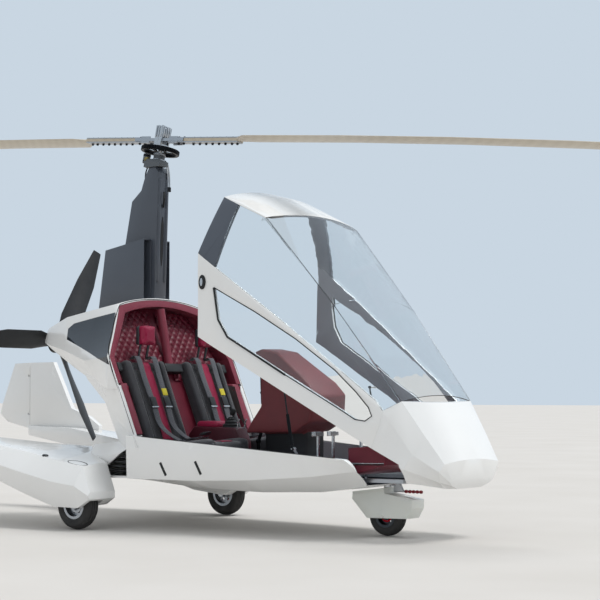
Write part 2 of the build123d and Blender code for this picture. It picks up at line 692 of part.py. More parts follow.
def build_deck_and_booms():
    """Rear deck with side intakes, twin booms with wheel wells, fins and rudders."""
    deck = hull(DECK_HULL) - hull(DECK_HULL, SKIN, first=-SKIN, last=SKIN)
    intake = side_prism(INTAKE, 500, FAR)
    put("rear_deck", deck - intake - mirror(intake, about=Plane.XZ) - seat_void())
    slats = []
    for row in range(INTAKE_SLATS):
        z = 392 + row * 31
        slat = side_prism([(-10, z), (300, z), (300, z + 9), (-10, z + 9)], 560, 590)
        slats.append(slat & side_prism(INTAKE, 500, FAR))
    put("intake_slats", *[s for slat in slats for s in both(slat)])
    outer = Solid.make_loft([wire([(x, y, z) for y, z in ring]) for x, ring in BOOM], ruled=True)
    inner_rings = []
    for x, ring in BOOM[3:]:
        cy = sum(y for y, z in ring) / len(ring)
        cz = sum(z for y, z in ring) / len(ring)
        pulled = []
        for y, z in ring:
            reach = math.hypot(y - cy, z - cz)
            pull = 1 - BOOM_WALL * 1.5 / reach
            pulled.append((x, cy + (y - cy) * pull, cz + (z - cz) * pull))
        inner_rings.append(pulled)
    inner_rings[0] = [(x - BOOM_WALL, y, z) for x, y, z in inner_rings[0]]
    inner_rings[-1] = [(x + BOOM_WALL, y, z) for x, y, z in inner_rings[-1]]
    void = Solid.make_loft([wire(ring) for ring in inner_rings], ruled=True)
    track_y = TRACK / 2
    well = rod_y(MAIN_AXLE_X, MAIN_TYRE_D / 2, MAIN_TYRE_D / 2 + WELL_GAP,
                 track_y - MAIN_TYRE_W / 2 - WELL_GAP, track_y + MAIN_TYRE_W / 2 + WELL_GAP)
    boom = outer - void - well - hull(DECK_HULL)
    put("tail_booms", *both(boom))
    hinge_front = RUDDER_HINGE_X + RUDDER_NOSE_R + RUDDER_GAP
    fin = side_prism([*FIN_FRONT, (hinge_front, FIN_TOP_Z), (hinge_front, 600)],
                     FIN_Y - FIN_T / 2, FIN_Y + FIN_T / 2)
    fin = fin - outer
    for z in HINGE_LUG_Z:
        hinge = Pos(RUDDER_HINGE_X, FIN_Y, z)
        arm = block(RUDDER_HINGE_X, hinge_front, FIN_Y - 8, FIN_Y + 8, z - 4, z + 4)
        fin = fin + arm + hinge * Cylinder(10, 8) + hinge * Cylinder(HINGE_PIN_R, HINGE_PIN_L)
    put("tail_fins", *both(fin))
    rear_x = RUDDER_REAR[1][0]
    wedge = extrude(Face(wire([
        (RUDDER_HINGE_X, FIN_Y - RUDDER_NOSE_R, 0), (RUDDER_HINGE_X, FIN_Y + RUDDER_NOSE_R, 0),
        (rear_x - 40, FIN_Y + RUDDER_TE_T / 2, 0), (rear_x - 40, FIN_Y - RUDDER_TE_T / 2, 0),
    ])), amount=2000, dir=(0, 0, 1))
    blade = side_prism([(RUDDER_HINGE_X, FIN_TOP_Z), *RUDDER_REAR,
                        (RUDDER_HINGE_X, RUDDER_FOOT_Z)], FIN_Y - 60, FIN_Y + 60)
    nose = Pos(RUDDER_HINGE_X, FIN_Y, (FIN_TOP_Z + RUDDER_FOOT_Z) / 2) * Cylinder(
        RUDDER_NOSE_R, FIN_TOP_Z - RUDDER_FOOT_Z)
    rudder = (blade & wedge) + nose
    for z in HINGE_LUG_Z:
        hinge = Pos(RUDDER_HINGE_X, FIN_Y, z)
        rudder = rudder - hinge * Cylinder(HINGE_PIN_R + RUNNING_FIT, HINGE_PIN_L + 4)
        rudder = rudder - hinge * Cylinder(RUDDER_NOSE_R + 2, 14)
    put("rudder_port", rudder)
    put("rudder_starboard", mirror(rudder, about=Plane.XZ))


def build_mast():
    """Mast fairing and the two scoops beside it."""
    cowl = hull(COWL_HULL)
    outline = Face(wire([(x, 0, z) for x, z in MAST]))
    fairing = extrude(outline, amount=MAST_Y, both=True, dir=(0, 1, 0))
    cavity = extrude(offset(outline, -MAST_WALL), amount=MAST_Y - MAST_WALL, both=True,
                     dir=(0, 1, 0))
    put("mast_fairing", (fairing - (cavity & block(-900, 200, -90, 90, 1640, 2560))) - cowl)
    y_in = MAST_Y + SEAT_GAP
    duct = side_prism(SCOOP_DUCT, y_in + SCOOP_WALL, SCOOP_Y - SCOOP_WALL)
    put("mast_scoops", *both(side_prism(SCOOP, y_in, SCOOP_Y) - duct - cowl))


def tip_rotor(shape):
    """Tilts a rotor piece, drawn level about the hub, to the shaft's lean."""
    return Pos(HUB_X, 0, HUB_Z) * Rot(-ROTOR_ROLL, ROTOR_TILT, 0) * shape


def blade_ring(x, chord, thick, droop, pitch):
    """Blade section at a radius: two arcs from the leading to the trailing edge."""
    rise = math.tan(math.radians(pitch))
    lead = (x, 0.3 * chord, droop + 0.3 * chord * rise)
    trail = (x, -0.7 * chord, droop - 0.7 * chord * rise)
    crest, mid = 0.05 * chord, droop + 0.05 * chord * rise
    upper = ThreePointArc(lead, (x, crest, mid + 0.6 * thick), trail)
    lower = ThreePointArc(trail, (x, crest, mid - 0.4 * thick), lead)
    return Wire([*upper.edges(), *lower.edges()])


def build_rotor():
    """Fixed rotor head, and the turning ring, tower, hub bar and two drooping blades."""
    housing = Pos(0, 0, -138) * Cylinder(42, 80)
    yoke = Pos(-20, 0, -182) * Box(150, 96, 56)
    starter = Pos(-122, 0, -134) * Cylinder(27, 66) + Pos(-80, 0, -150) * Box(110, 40, 16)
    bore = Pos(0, 0, -128) * Cylinder(SHAFT_R + RUNNING_FIT, 88)
    head = tip_rotor((housing + yoke + starter) - bore)
    put("rotor_head", head & block(-400, 400, -200, 200, MAST_TOP_Z, 3000))
    ring = Pos(0, 0, -78) * (Cylinder(RING_R, RING_H) - Cylinder(RING_R - 26, RING_H + 4))
    web = Pos(0, 0, -78) * Cylinder(RING_R - 20, 6)
    shaft_hole = Pos(0, 0, -78) * Cylinder(SHAFT_R, 40)
    put("rotor_ring", tip_rotor(ring + web - shaft_hole))
    tower = Pos(0, 0, 25) * Box(66, 96, 150) - Pos(0, 0, 0) * Box(100, HUB_BAR_W + 1, 60)
    tower = tower + Pos(0, 0, -50) * Box(66, 96, 26) + Pos(0, 0, 88) * Box(66, 96, 24)
    shaft = Pos(0, 0, -114) * Cylinder(SHAFT_R, 112)
    pivot = Rot(90, 0, 0) * Cylinder(PIVOT_R, 100)
    put("rotor_tower", tip_rotor(tower + shaft + pivot))
    bar = Box(2 * BLADE_ROOT_X - 1, HUB_BAR_W, BLADE_T - 2)
    strap_len = STRAP_END_X - STRAP_START_X
    for end in (-1, 1):
        for up in (-1, 1):
            x = end * (STRAP_START_X + strap_len / 2)
            z = up * (BLADE_T / 2 + STRAP_T / 2)
            bar = bar + Pos(x, 0, z) * Box(strap_len, HUB_BAR_W - 12, STRAP_T)
    bar = bar + Box(2 * STRAP_START_X + 60, HUB_BAR_W - 12, BLADE_T)
    bar = bar - Rot(90, 0, 0) * Cylinder(PIVOT_R + RUNNING_FIT, 120)
    put("rotor_hub_bar", tip_rotor(bar))
    taper_x = STRAP_END_X + 4
    rings = [blade_root(BLADE_ROOT_X), blade_root(taper_x)]
    root = Solid.make_loft(rings, ruled=True)
    sections = []
    for x in (taper_x, BLADE_SHOULDER_X, 1700, 2550, 3420, ROTOR_R):
        share = (x - taper_x) / (ROTOR_R - taper_x)
        droop = -BLADE_DROOP * share ** 2
        if x == taper_x:
            sections.append(blade_ring(x, BLADE_ROOT_CHORD, BLADE_T, droop, 0))
        else:
            sections.append(blade_ring(x, BLADE_CHORD, BLADE_T, droop, BLADE_PITCH))
    blade = root + Solid.make_loft(sections, ruled=True)
    put("rotor_blades", tip_rotor(blade), tip_rotor(Rot(0, 0, 180) * blade))


def blade_root(x):
    """Flat root section of a blade, as thick as the hub bar's slot."""
    half_y, half_z = HUB_BAR_W / 2 - 8, BLADE_T / 2
    return wire([(x, half_y, -half_z), (x, half_y, half_z), (x, -half_y, half_z),
                 (x, -half_y, -half_z)])


def build_propeller():
    """Pusher propeller: a hub and blades that twist from root to tip."""
    hub = Pos(PROP_X, 0, PROP_Z) * Rot(0, 90, 0) * Cylinder(PROP_HUB_R, 60)
    blades = []
    # Columns: radius, chord, thickness, pitch in degrees from the disc
    table = [(60, 92, 44, 48), (240, 172, 26, 38), (560, 150, 15, 25), (PROP_R, 70, 7, 17)]
    for index in range(PROP_BLADES):
        rings = []
        for r, chord, thick, pitch in table:
            a = math.radians(pitch)
            ux, uy = math.sin(a), math.cos(a)
            lead = (-0.35 * chord * ux, -0.35 * chord * uy, r)
            trail = (0.65 * chord * ux, 0.65 * chord * uy, r)
            mid = (0.15 * chord * ux, 0.15 * chord * uy)
            over = (mid[0] + uy * thick * 0.6, mid[1] - ux * thick * 0.6, r)
            under = (mid[0] - uy * thick * 0.4, mid[1] + ux * thick * 0.4, r)
            rings.append(Wire([*ThreePointArc(lead, over, trail).edges(),
                               *ThreePointArc(trail, under, lead).edges()]))
        blade = Solid.make_loft(rings, ruled=True)
        angle = 90 - (PROP_FIRST_DEG + index * 360 / PROP_BLADES)
        turned = Pos(PROP_X, 0, PROP_Z) * Rot(-angle, 0, 0) * blade
        blades.append(turned - hub)
    put("propeller_hub", hub)
    put("propeller_blades", *blades)


def tyre_and_rim(diameter, width, bore_r):
    """A tyre and its rim about the Y axis at the origin."""
    outer = diameter / 2
    seat = outer * RIM_SHARE
    wall = (outer - seat)
    half = width / 2
    shoulder = outer - 0.16 * wall
    edge = half * 0.72
    profile = Wire([
        *Polyline((seat, edge, 0), (seat, -edge, 0)).edges(),
        *ThreePointArc((seat, -edge, 0), (seat + wall * 0.5, -half, 0),
                       (shoulder, -edge, 0)).edges(),
        *ThreePointArc((shoulder, -edge, 0), (outer, 0, 0), (shoulder, edge, 0)).edges(),
        *ThreePointArc((shoulder, edge, 0), (seat + wall * 0.5, half, 0),
                       (seat, edge, 0)).edges(),
    ])
    tyre = revolve(Face(profile), Axis.Y, 360)
    hub_r = bore_r + 16
    lip = seat + 8
    rim_profile = wire([
        (bore_r, -half * 0.8, 0), (hub_r, -half * 0.8, 0), (hub_r, -8, 0), (seat - 16, -8, 0),
        (seat - 10, -edge - 6, 0), (lip, -edge - 6, 0), (lip, -edge - 0.3, 0),
        (seat, -edge - 0.3, 0), (seat, edge + 0.3, 0), (lip, edge + 0.3, 0), (lip, edge + 6, 0),
        (seat - 10, edge + 6, 0), (seat - 16, 8, 0), (hub_r, 8, 0), (hub_r, half * 0.8, 0),
        (bore_r, half * 0.8, 0),
    ])
    rim = revolve(Face(rim_profile), Axis.Y, 360)
    for index in range(RIM_HOLES):
        a = 2 * math.pi * index / RIM_HOLES
        mid = (hub_r + seat - 16) / 2
        hole_r = (seat - 16 - hub_r) * 0.32
        rim = rim - rod_y(mid * math.cos(a), mid * math.sin(a), hole_r, -20, 20)
    return tyre - rim, rim


def build_wheels():
    """Main wheels on stub axles in the pods, and the steered nose wheel in its spat."""
    tyre, rim = tyre_and_rim(MAIN_TYRE_D, MAIN_TYRE_W, AXLE_R + RUNNING_FIT)
    well_y = TRACK / 2 - MAIN_TYRE_W / 2 - WELL_GAP
    axle = rod_y(MAIN_AXLE_X, MAIN_TYRE_D / 2, AXLE_R, well_y, TRACK / 2 + MAIN_TYRE_W * 0.45)
    collar = rod_y(MAIN_AXLE_X, MAIN_TYRE_D / 2, AXLE_R + 12, well_y, well_y + 22)
    put("main_axles", *both(axle + collar))
    for side, name in ((-1, "starboard"), (1, "port")):
        place = Pos(MAIN_AXLE_X, side * TRACK / 2, MAIN_TYRE_D / 2)
        put(f"main_tyre_{name}", place * tyre)
        put(f"main_rim_{name}", place * rim)
    axle_r = AXLE_R - 3
    tyre, rim = tyre_and_rim(NOSE_TYRE_D, NOSE_TYRE_W, axle_r + RUNNING_FIT)
    place = Pos(NOSE_AXLE_X, 0, NOSE_TYRE_D / 2)
    put("nose_tyre", place * tyre)
    put("nose_rim", place * rim)
    half = NOSE_TYRE_W / 2 + SPAT_GAP
    spat = side_prism([(NOSE_AXLE_X + x, z) for x, z in SPAT], -SPAT_Y, SPAT_Y)
    spat = spat + Pos(NOSE_AXLE_X, 0, LEG_Z - 15) * Cylinder(LEG_R, 30)
    spat = spat - rod_y(NOSE_AXLE_X, NOSE_TYRE_D / 2, NOSE_TYRE_D / 2 + SPAT_GAP, -half, half)
    spat = spat - Pos(NOSE_AXLE_X, 0, LEG_Z) * Cylinder(STEER_PIN_R + RUNNING_FIT, 60)
    pin_y = SPAT_Y + TOW_PIN_L
    spat = spat + rod_y(NOSE_AXLE_X, NOSE_TYRE_D / 2, axle_r, -pin_y, pin_y)
    put("nose_spat", spat)
    leg = Pos(NOSE_AXLE_X, 0, LEG_Z + SEAT_GAP + 15) * Cylinder(LEG_R, 30)
    leg = leg + Pos(NOSE_AXLE_X, 0, LEG_Z - 3) * Cylinder(STEER_PIN_R, 40)
    put("nose_leg", leg - hull(TUB_HULL))
    ahead = Pos(NOSE_AXLE_X, 0, 0)
    gusset = side_prism([(49, PITOT_Z), (49, 400), (69, 400), (124, PITOT_Z)], -6, 6)
    gusset = gusset & block(29, 329, -20, 20, PITOT_Z - 13, 345)
    pitot = gusset + rod((51, 0, PITOT_Z), (131, 0, PITOT_Z), 6)
    bracket = block(LEG_R + 2, 59, -14, 14, 322, 345)
    put("pitot_tube", ahead * (pitot + bracket) - hull(TUB_HULL))
    put("pitot_cover", ahead * rod((131.3, 0, PITOT_Z), (269, 0, PITOT_Z), 9))


def main():
    os.makedirs("parts", exist_ok=True)
    build_tub()
    build_rear_cabin()
    build_seats()
    build_dash()
    build_engine()
    build_deck_and_booms()
    build_mast()
    build_rotor()
    build_propeller()
    build_wheels()
    build_canopy()
    build_carriage()


main()
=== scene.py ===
# %% [markdown]
# # A two-seat gyrocopter
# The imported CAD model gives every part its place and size. This lesson dresses it: soft edges
# on the moulded shells, padded seats, quilted leather, harness, rotor head and wheels.
# Everything is in metres, +X to the nose, +Y to port, +Z up.

# %% Load the frame
import json
import math

import bmesh
import bpy
from mathutils import Matrix, Vector

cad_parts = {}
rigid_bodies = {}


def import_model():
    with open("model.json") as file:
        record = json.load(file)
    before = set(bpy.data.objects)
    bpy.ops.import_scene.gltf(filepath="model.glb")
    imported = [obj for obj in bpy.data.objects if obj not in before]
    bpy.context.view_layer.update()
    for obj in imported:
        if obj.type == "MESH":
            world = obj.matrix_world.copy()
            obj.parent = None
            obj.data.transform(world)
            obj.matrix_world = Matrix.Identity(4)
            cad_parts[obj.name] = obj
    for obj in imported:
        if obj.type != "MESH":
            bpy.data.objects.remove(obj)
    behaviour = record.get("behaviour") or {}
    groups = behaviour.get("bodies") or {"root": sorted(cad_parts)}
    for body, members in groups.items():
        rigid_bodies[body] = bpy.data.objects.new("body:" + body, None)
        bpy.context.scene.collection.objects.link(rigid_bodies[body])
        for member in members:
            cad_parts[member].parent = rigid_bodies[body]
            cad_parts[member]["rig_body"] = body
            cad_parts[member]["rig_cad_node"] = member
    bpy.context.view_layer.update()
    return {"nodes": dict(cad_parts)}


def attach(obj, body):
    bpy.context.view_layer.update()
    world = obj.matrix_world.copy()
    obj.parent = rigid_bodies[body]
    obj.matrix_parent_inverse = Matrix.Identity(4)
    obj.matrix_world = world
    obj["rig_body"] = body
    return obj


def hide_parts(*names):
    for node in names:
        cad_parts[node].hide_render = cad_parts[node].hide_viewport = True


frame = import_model()
nodes = frame["nodes"]

# %% [markdown]
# ## Camera and room
# The photograph was taken from low down ahead of the starboard side with a long lens, so the
# blades run out of the picture on both sides. The floor is plain and pale, and so is the
# backdrop, which is the world's colour for the camera and for what glass and metal reflect.

# %% Camera
CAMERA_PLACE = (7.683, -8.862, 0.919)
CAMERA_LOOK = (-0.5858, 0.8083, 0.0591)
CAMERA_LENS = 96.1
CLIP_END = 400

camera_data = bpy.data.cameras.new("photograph_camera")
camera_data.lens = CAMERA_LENS
camera_data.clip_end = CLIP_END
camera = bpy.data.objects.new("photograph_camera", camera_data)
bpy.context.scene.collection.objects.link(camera)
camera.location = CAMERA_PLACE
camera.rotation_euler = Vector(CAMERA_LOOK).to_track_quat("-Z", "Y").to_euler()
bpy.context.scene.camera = camera
print("camera", camera.name, "lens", camera_data.lens)


# %% Small helpers for colours and nodes
def linear(hex_colour):
    """An sRGB colour such as #A0B1C2 as linear red, green, blue and alpha."""
    values = [int(hex_colour[i:i + 2], 16) / 255 for i in (1, 3, 5)]
    return (*[v / 12.92 if v <= 0.04045 else ((v + 0.055) / 1.055) ** 2.4 for v in values], 1.0)


def add_node(tree, kind, settings=None, inputs=None):
    """Adds a node to a tree, with its settings, and values or links for its inputs."""
    made = tree.nodes.new(kind)
    for name, value in (settings or {}).items():
        setattr(made, name, value)
    for socket, value in (inputs or {}).items():
        if isinstance(value, bpy.types.NodeSocket):
            tree.links.new(value, made.inputs[socket])
        else:
            made.inputs[socket].default_value = value
    return made


def start_material(name, colour, sockets):
    """A material with its node tree, its Principled shader and its Object coordinates."""
    material = bpy.data.materials.new(name)
    material.use_nodes = True
    tree = material.node_tree
    shader = tree.nodes["Principled BSDF"]
    shader.inputs["Base Color"].default_value = linear(colour)
    for socket, value in sockets.items():
        shader.inputs[socket].default_value = value
    return material, tree, shader, add_node(tree, "ShaderNodeTexCoord").outputs["Object"]


def noise(tree, where, scale, detail, roughness=0.5):
    """Cloudy noise as a value from 0 to 1."""
    return add_node(tree, "ShaderNodeTexNoise", None, {
        "Vector": where, "Scale": scale, "Detail": detail, "Roughness": roughness}).outputs[0]


def cells(tree, where, grain, feature="F1"):
    """Distances in a pattern of cells, each about one grain wide."""
    return add_node(tree, "ShaderNodeTexVoronoi", {"feature": feature}, {
        "Vector": where, "Scale": 1 / grain}).outputs["Distance"]


def waves(tree, where, way, scale, **inputs):
    """Bands that run one way, as a value from 0 to 1."""
    return add_node(tree, "ShaderNodeTexWave", {"bands_direction": way}, {
        "Vector": where, "Scale": scale, **inputs}).outputs["Fac"]


def combine(tree, operation, one, two):
    """Two values put together by a sum of arithmetic."""
    return add_node(tree, "ShaderNodeMath", {"operation": operation}, {0: one, 1: two}).outputs[0]


def paint(tree, shader, share, shade, colour):
    """Colours a shader from the shade to the colour, by a share."""
    tone = add_node(tree, "ShaderNodeMix", {"data_type": "RGBA"}, {
        0: share, 6: linear(shade), 7: linear(colour)})
    tree.links.new(tone.outputs[2], shader.inputs["Base Color"])


def vary(tree, shader, share, low, high, start=0.0, end=1.0):
    """Lets the roughness run from low to high while a share runs from start to end."""
    spread = add_node(tree, "ShaderNodeMapRange", None, {
        "Value": share, "From Min": start, "From Max": end, "To Min": low, "To Max": high})
    tree.links.new(spread.outputs[0], shader.inputs["Roughness"])


def emboss(tree, shader, height, strength, distance):
    """Raises a pattern as a bump, its depth in metres."""
    bump = add_node(tree, "ShaderNodeBump", None, {
        "Strength": strength, "Distance": distance, "Height": height})
    tree.links.new(bump.outputs[0], shader.inputs["Normal"])


# %% Room, floor and lamps
FLOOR_COLOUR, FLOOR_DARK, FLOOR_PALE = "#CBC8C3", "#C4C0BA", "#D2CFCB"
FLOOR_SIZE = 240
BACKDROP_COLOUR = "#C9D6E2"
LAMP_COLOUR = "#F4F7FA"
LAMP_STRENGTH = 0.78
SUN_ENERGY = 2.0
SUN_ANGLE = 22
SUN_WAY = (-0.42, -0.22, -0.9)

world = bpy.data.worlds.new("plain_room")
bpy.context.scene.world = world
world.use_nodes = True
room = world.node_tree
room.nodes.clear()
rays = add_node(room, "ShaderNodeLightPath")
seen = combine(room, "MAXIMUM", rays.outputs["Is Camera Ray"], rays.outputs["Is Glossy Ray"])
seen = combine(room, "MAXIMUM", seen, rays.outputs["Is Transmission Ray"])
lamp_world = add_node(room, "ShaderNodeBackground", None, {
    "Color": linear(LAMP_COLOUR), "Strength": LAMP_STRENGTH})
shown_world = add_node(room, "ShaderNodeBackground", None, {
    "Color": linear(BACKDROP_COLOUR), "Strength": 1.0})
mixed = add_node(room, "ShaderNodeMixShader", None, {
    0: seen, 1: lamp_world.outputs[0], 2: shown_world.outputs[0]})
add_node(room, "ShaderNodeOutputWorld", None, {0: mixed.outputs[0]})

floor_paint, tree, shader, where = start_material(
    "brushed_concrete", FLOOR_COLOUR, {"Roughness": 0.9})
# Broad stains of about a metre
paint(tree, shader, noise(tree, where, 0.8, 6), FLOOR_DARK, FLOOR_PALE)

bpy.ops.object.select_all(action="DESELECT")
bpy.ops.mesh.primitive_plane_add(size=FLOOR_SIZE, location=(0, 0, -0.001))
floor = bpy.context.object
floor.name = "floor"
floor.data.materials.append(floor_paint)

sun_data = bpy.data.lights.new("soft_sun", "SUN")
sun_data.energy = SUN_ENERGY
sun_data.angle = math.radians(SUN_ANGLE)
sun = bpy.data.objects.new("soft_sun", sun_data)
bpy.context.scene.collection.objects.link(sun)
sun.rotation_euler = Vector(SUN_WAY).to_track_quat("-Z", "Y").to_euler()
bpy.context.scene.view_settings.view_transform = "Standard"
print("room and lamps made")


# %% [markdown]
# ## Finishes
# Each material starts from what the real one is and how its surface was made. Patterns read
# Object coordinates, which are metres in the machine's own frame, so a scale of 250 is one
# cell in 4 mm. The camera stands about 11 m off and a pixel covers 7 mm, so the finest grains
# are drawn a little coarser than life.

# %% Gelcoat
def gelcoat(name, colour, shade, roughness=0.2):
    """Moulded glassfibre under glossy gelcoat: fair surface, faint ripple, a little road dust."""
    material, tree, shader, where = start_material(name, colour, {
        "Roughness": roughness, "Coat Weight": 0.5, "Coat Roughness": 0.06})
    clouds = noise(tree, where, 2.2, 5, 0.6)
    paint(tree, shader, clouds, shade, colour)
    vary(tree, shader, clouds, roughness, roughness + 0.1, 0.35, 0.75)
    emboss(tree, shader, noise(tree, where, 4, 1), 0.05, 0.002)
    return material


# %% Carbon laminate and moulded plastic
def laminate(name, colour, shade, roughness=0.36, tow=0.006):
    """Woven laminate under satin lacquer: a diagonal twill that shows only close to."""
    material, tree, shader, where = start_material(name, colour, {
        "Roughness": roughness, "Coat Weight": 0.25, "Coat Roughness": 0.18})
    twill = waves(tree, where, "DIAGONAL", 0.16 / tow)
    weave = combine(tree, "MULTIPLY", twill, 0.35)
    paint(tree, shader, combine(tree, "ADD", weave, noise(tree, where, 3, 4)), shade, colour)
    emboss(tree, shader, twill, 0.15, 0.0004)
    return material


def moulded(name, colour, shade, roughness=0.5, grain=0.003):
    """Injection-moulded plastic or rubber with a fine spark-eroded grain."""
    material, tree, shader, where = start_material(name, colour, {"Roughness": roughness})
    paint(tree, shader, noise(tree, where, 14, 5), shade, colour)
    emboss(tree, shader, cells(tree, where, grain), 0.25, 0.0006)
    return material


# %% Leather and cloth
def leather(name, colour, shade, grain=0.004, roughness=0.42):
    """Aniline-dyed leather: pebbled grain, softer sheen, darker where it is handled."""
    material, tree, shader, where = start_material(name, colour, {
        "Roughness": roughness, "Sheen Weight": 0.04, "Sheen Roughness": 0.3,
        "Specular IOR Level": 0.35})
    clouds = noise(tree, where, 11, 6, 0.65)
    paint(tree, shader, clouds, shade, colour)
    vary(tree, shader, clouds, roughness - 0.08, roughness + 0.12)
    emboss(tree, shader, cells(tree, where, grain, "DISTANCE_TO_EDGE"), 0.5, 0.0012)
    return material


def woven(name, colour, shade, thread=0.004, roughness=0.85):
    """Coarse woven seat cloth: crossing threads, drawn at about twice their real width."""
    material, tree, shader, where = start_material(name, colour, {
        "Roughness": roughness, "Sheen Weight": 0.25, "Sheen Roughness": 0.5})
    weft, warp = [waves(tree, where, way, 0.32 / thread, Distortion=0.6, Detail=1) for way in "YZ"]
    threads = combine(tree, "MULTIPLY", weft, warp)
    paint(tree, shader, combine(tree, "ADD", threads, noise(tree, where, 18, 6)), shade, colour)
    emboss(tree, shader, threads, 0.5, 0.0015)
    return material


# %% Metal
def metal(name, colour, shade, roughness=0.32, grain=60, strength=0.08):
    """Machined, plated or cast metal with fine scratches or a coarse cast grain."""
    material, tree, shader, where = start_material(name, colour, {
        "Metallic": 1.0, "Roughness": roughness})
    scratches = noise(tree, where, grain, 5, 0.7)
    paint(tree, shader, scratches, shade, colour)
    vary(tree, shader, scratches, roughness - 0.1, roughness + 0.15)
    emboss(tree, shader, scratches, strength, 0.001)
    return material


# %% Acrylic
def acrylic(name, colour, roughness=0.0, weight=1.0, haze=0.0):
    """Blown acrylic sheet. Lamps' rays pass straight through it, so the cabin stays lit."""
    material, tree, shader, where = start_material(name, colour, {
        "Roughness": roughness, "IOR": 1.49, "Transmission Weight": weight})
    # Polishing marks of about 30 mm that only the gloss shows
    vary(tree, shader, noise(tree, where, 33, 4), roughness, roughness + haze, 0.5, 0.8)
    lamps = add_node(tree, "ShaderNodeLightPath").outputs["Is Shadow Ray"]
    clear = add_node(tree, "ShaderNodeBsdfTransparent", None, {"Color": linear(colour)})
    mix = add_node(tree, "ShaderNodeMixShader", None, {
        0: lamps, 1: shader.outputs[0], 2: clear.outputs[0]})
    tree.links.new(mix.outputs[0], tree.nodes["Material Output"].inputs["Surface"])
    return material


# %% The finishes of this machine
white_gelcoat = gelcoat("white_gelcoat", "#EDEEEE", "#E4E5E4")
grey_gelcoat = gelcoat("light_grey_gelcoat", "#EEF1EC", "#E4E8E2", 0.3)
blade_laminate = laminate("sand_blade_laminate", "#BDB3A0", "#ABA08C", 0.4, 0.02)
dark_laminate = laminate("satin_carbon_laminate", "#4A505A", "#3A3F48")
inner_laminate = laminate("grey_inner_laminate", "#8E8E93", "#7E7E84", 0.55)
black_plastic = moulded("black_moulded_abs", "#222326", "#17181A", 0.45)
rubber = moulded("black_rubber_seal", "#1E1F21", "#141516", 0.7, 0.002)
tyre_rubber = moulded("dusty_tyre_rubber", "#3A3937", "#232324", 0.8, 0.0035)
deep_leather = leather("burgundy_quilted_leather", "#741E33", "#571222")
rim_leather = leather("rose_burgundy_leather", "#8A3949", "#742B3B")
bright_leather = leather("crimson_leather", "#A01D45", "#861539")
dark_leather = leather("dark_burgundy_leather", "#561A28", "#3C101A")
dash_leather = leather("brown_burgundy_vinyl", "#6E2E32", "#5A2226", 0.005, 0.5)
seat_cloth = woven("charcoal_seat_cloth", "#3D3E43", "#27282C")
bolster_leather = leather("charcoal_leather", "#38393D", "#26272A")
alloy = metal("machined_alloy", "#B9BCC0", "#9FA2A6", 0.34)
dark_alloy = metal("dark_anodised_alloy", "#55585C", "#3F4246", 0.42)
steel = metal("plated_steel", "#C9CBCD", "#B0B2B5", 0.22)
dark_steel = metal("blackened_steel", "#3C3D40", "#2A2B2D", 0.45)
black_alloy = metal("black_anodised_alloy", "#242528", "#18191B", 0.42)
casting = metal("cast_aluminium", "#7C7E80", "#5F6163", 0.55, grain=240, strength=0.4)
clear_acrylic = acrylic("clear_acrylic", "#F6F9FA", 0.0)
tinted_acrylic = acrylic("smoke_tinted_acrylic", "#4C5765", 0.02, 0.75, 0.03)
red_cloth = woven("red_cover_cloth", "#8E1B27", "#64121B", 0.005)
print(len(bpy.data.materials), "materials")

# %% Finishes for the CAD nodes
finish_nodes = (
    (white_gelcoat, "cockpit_tub rear_cowl corner_pillars rear_deck tail_booms tail_fins "
                    "rudder_port rudder_starboard canopy_roof canopy_frame canopy_nose"),
    (grey_gelcoat, "nose_spat"),
    (dark_laminate, "mast_fairing mast_scoops canopy_pillars"),
    (blade_laminate, "rotor_blades"),
    (clear_acrylic, "windscreen canopy_side_windows"),
    (tinted_acrylic, "quarter_windows"),
    (deep_leather, "side_linings rear_bulkhead"),
    (rim_leather, "arch_lining mast_trim"),
    (dark_leather, "centre_console foot_box"),
    (bright_leather, "headrests"),
    (dash_leather, "dash_binnacle"),
    (bolster_leather, "seat_bases"),
    (seat_cloth, "seat_cushions seat_backs"),
    (red_cloth, "pitot_cover"),
    (black_plastic, "instrument_panel intake_slats propeller_blades"),
    (tyre_rubber, "main_tyre_port main_tyre_starboard nose_tyre"),
    (alloy, "pitot_tube rotor_tower rotor_hub_bar main_rim_port main_rim_starboard "
            "canopy_carriage"),
    (dark_alloy, "canopy_rails headrest_posts nose_rim"),
    (black_alloy, "control_stick rotor_ring propeller_hub stay_body_port stay_body_starboard"),
    (steel, "rudder_pedals main_axles nose_leg"),
    (dark_steel, "stay_rod_port stay_rod_starboard"),
    (casting, "engine_block rotor_head"),
)
for material, names in finish_nodes:
    for node in names.split():
        nodes[node].data.materials.clear()
        nodes[node].data.materials.append(material)
finished = {node for material, names in finish_nodes for node in names.split()}
print("nodes without a finish", sorted(set(nodes) - finished))

# %% [markdown]
# ## Working helpers
# The pieces are made as by hand: a primitive is added, shaped in edit mode, and given modifiers
# that are applied. These helpers keep the repeated steps in one place. Each finished piece sits
# at the origin with its place in its mesh, rides on a body and carries its material.

# %% Helpers for pieces
SIDES = ((-1, "starboard"), (1, "port"))


def at(place):
    """A place given as a point, or as a matrix already, as a matrix."""
    return place if isinstance(place, Matrix) else Matrix.Translation(place)


def spin(degrees, axis):
    """A turn about an axis."""
    return Matrix.Rotation(math.radians(degrees), 4, axis)


def select_only(*objects):
    """Selects these objects and nothing else; the first one becomes active."""
    bpy.ops.object.select_all(action="DESELECT")
    for each in objects:
        each.select_set(True)
    bpy.context.view_layer.objects.active = objects[0]


def apply_modifiers(piece):
    """Applies every modifier of a piece in its order."""
    select_only(piece)
    for modifier in list(piece.modifiers):
        bpy.ops.object.modifier_apply(modifier=modifier.name)


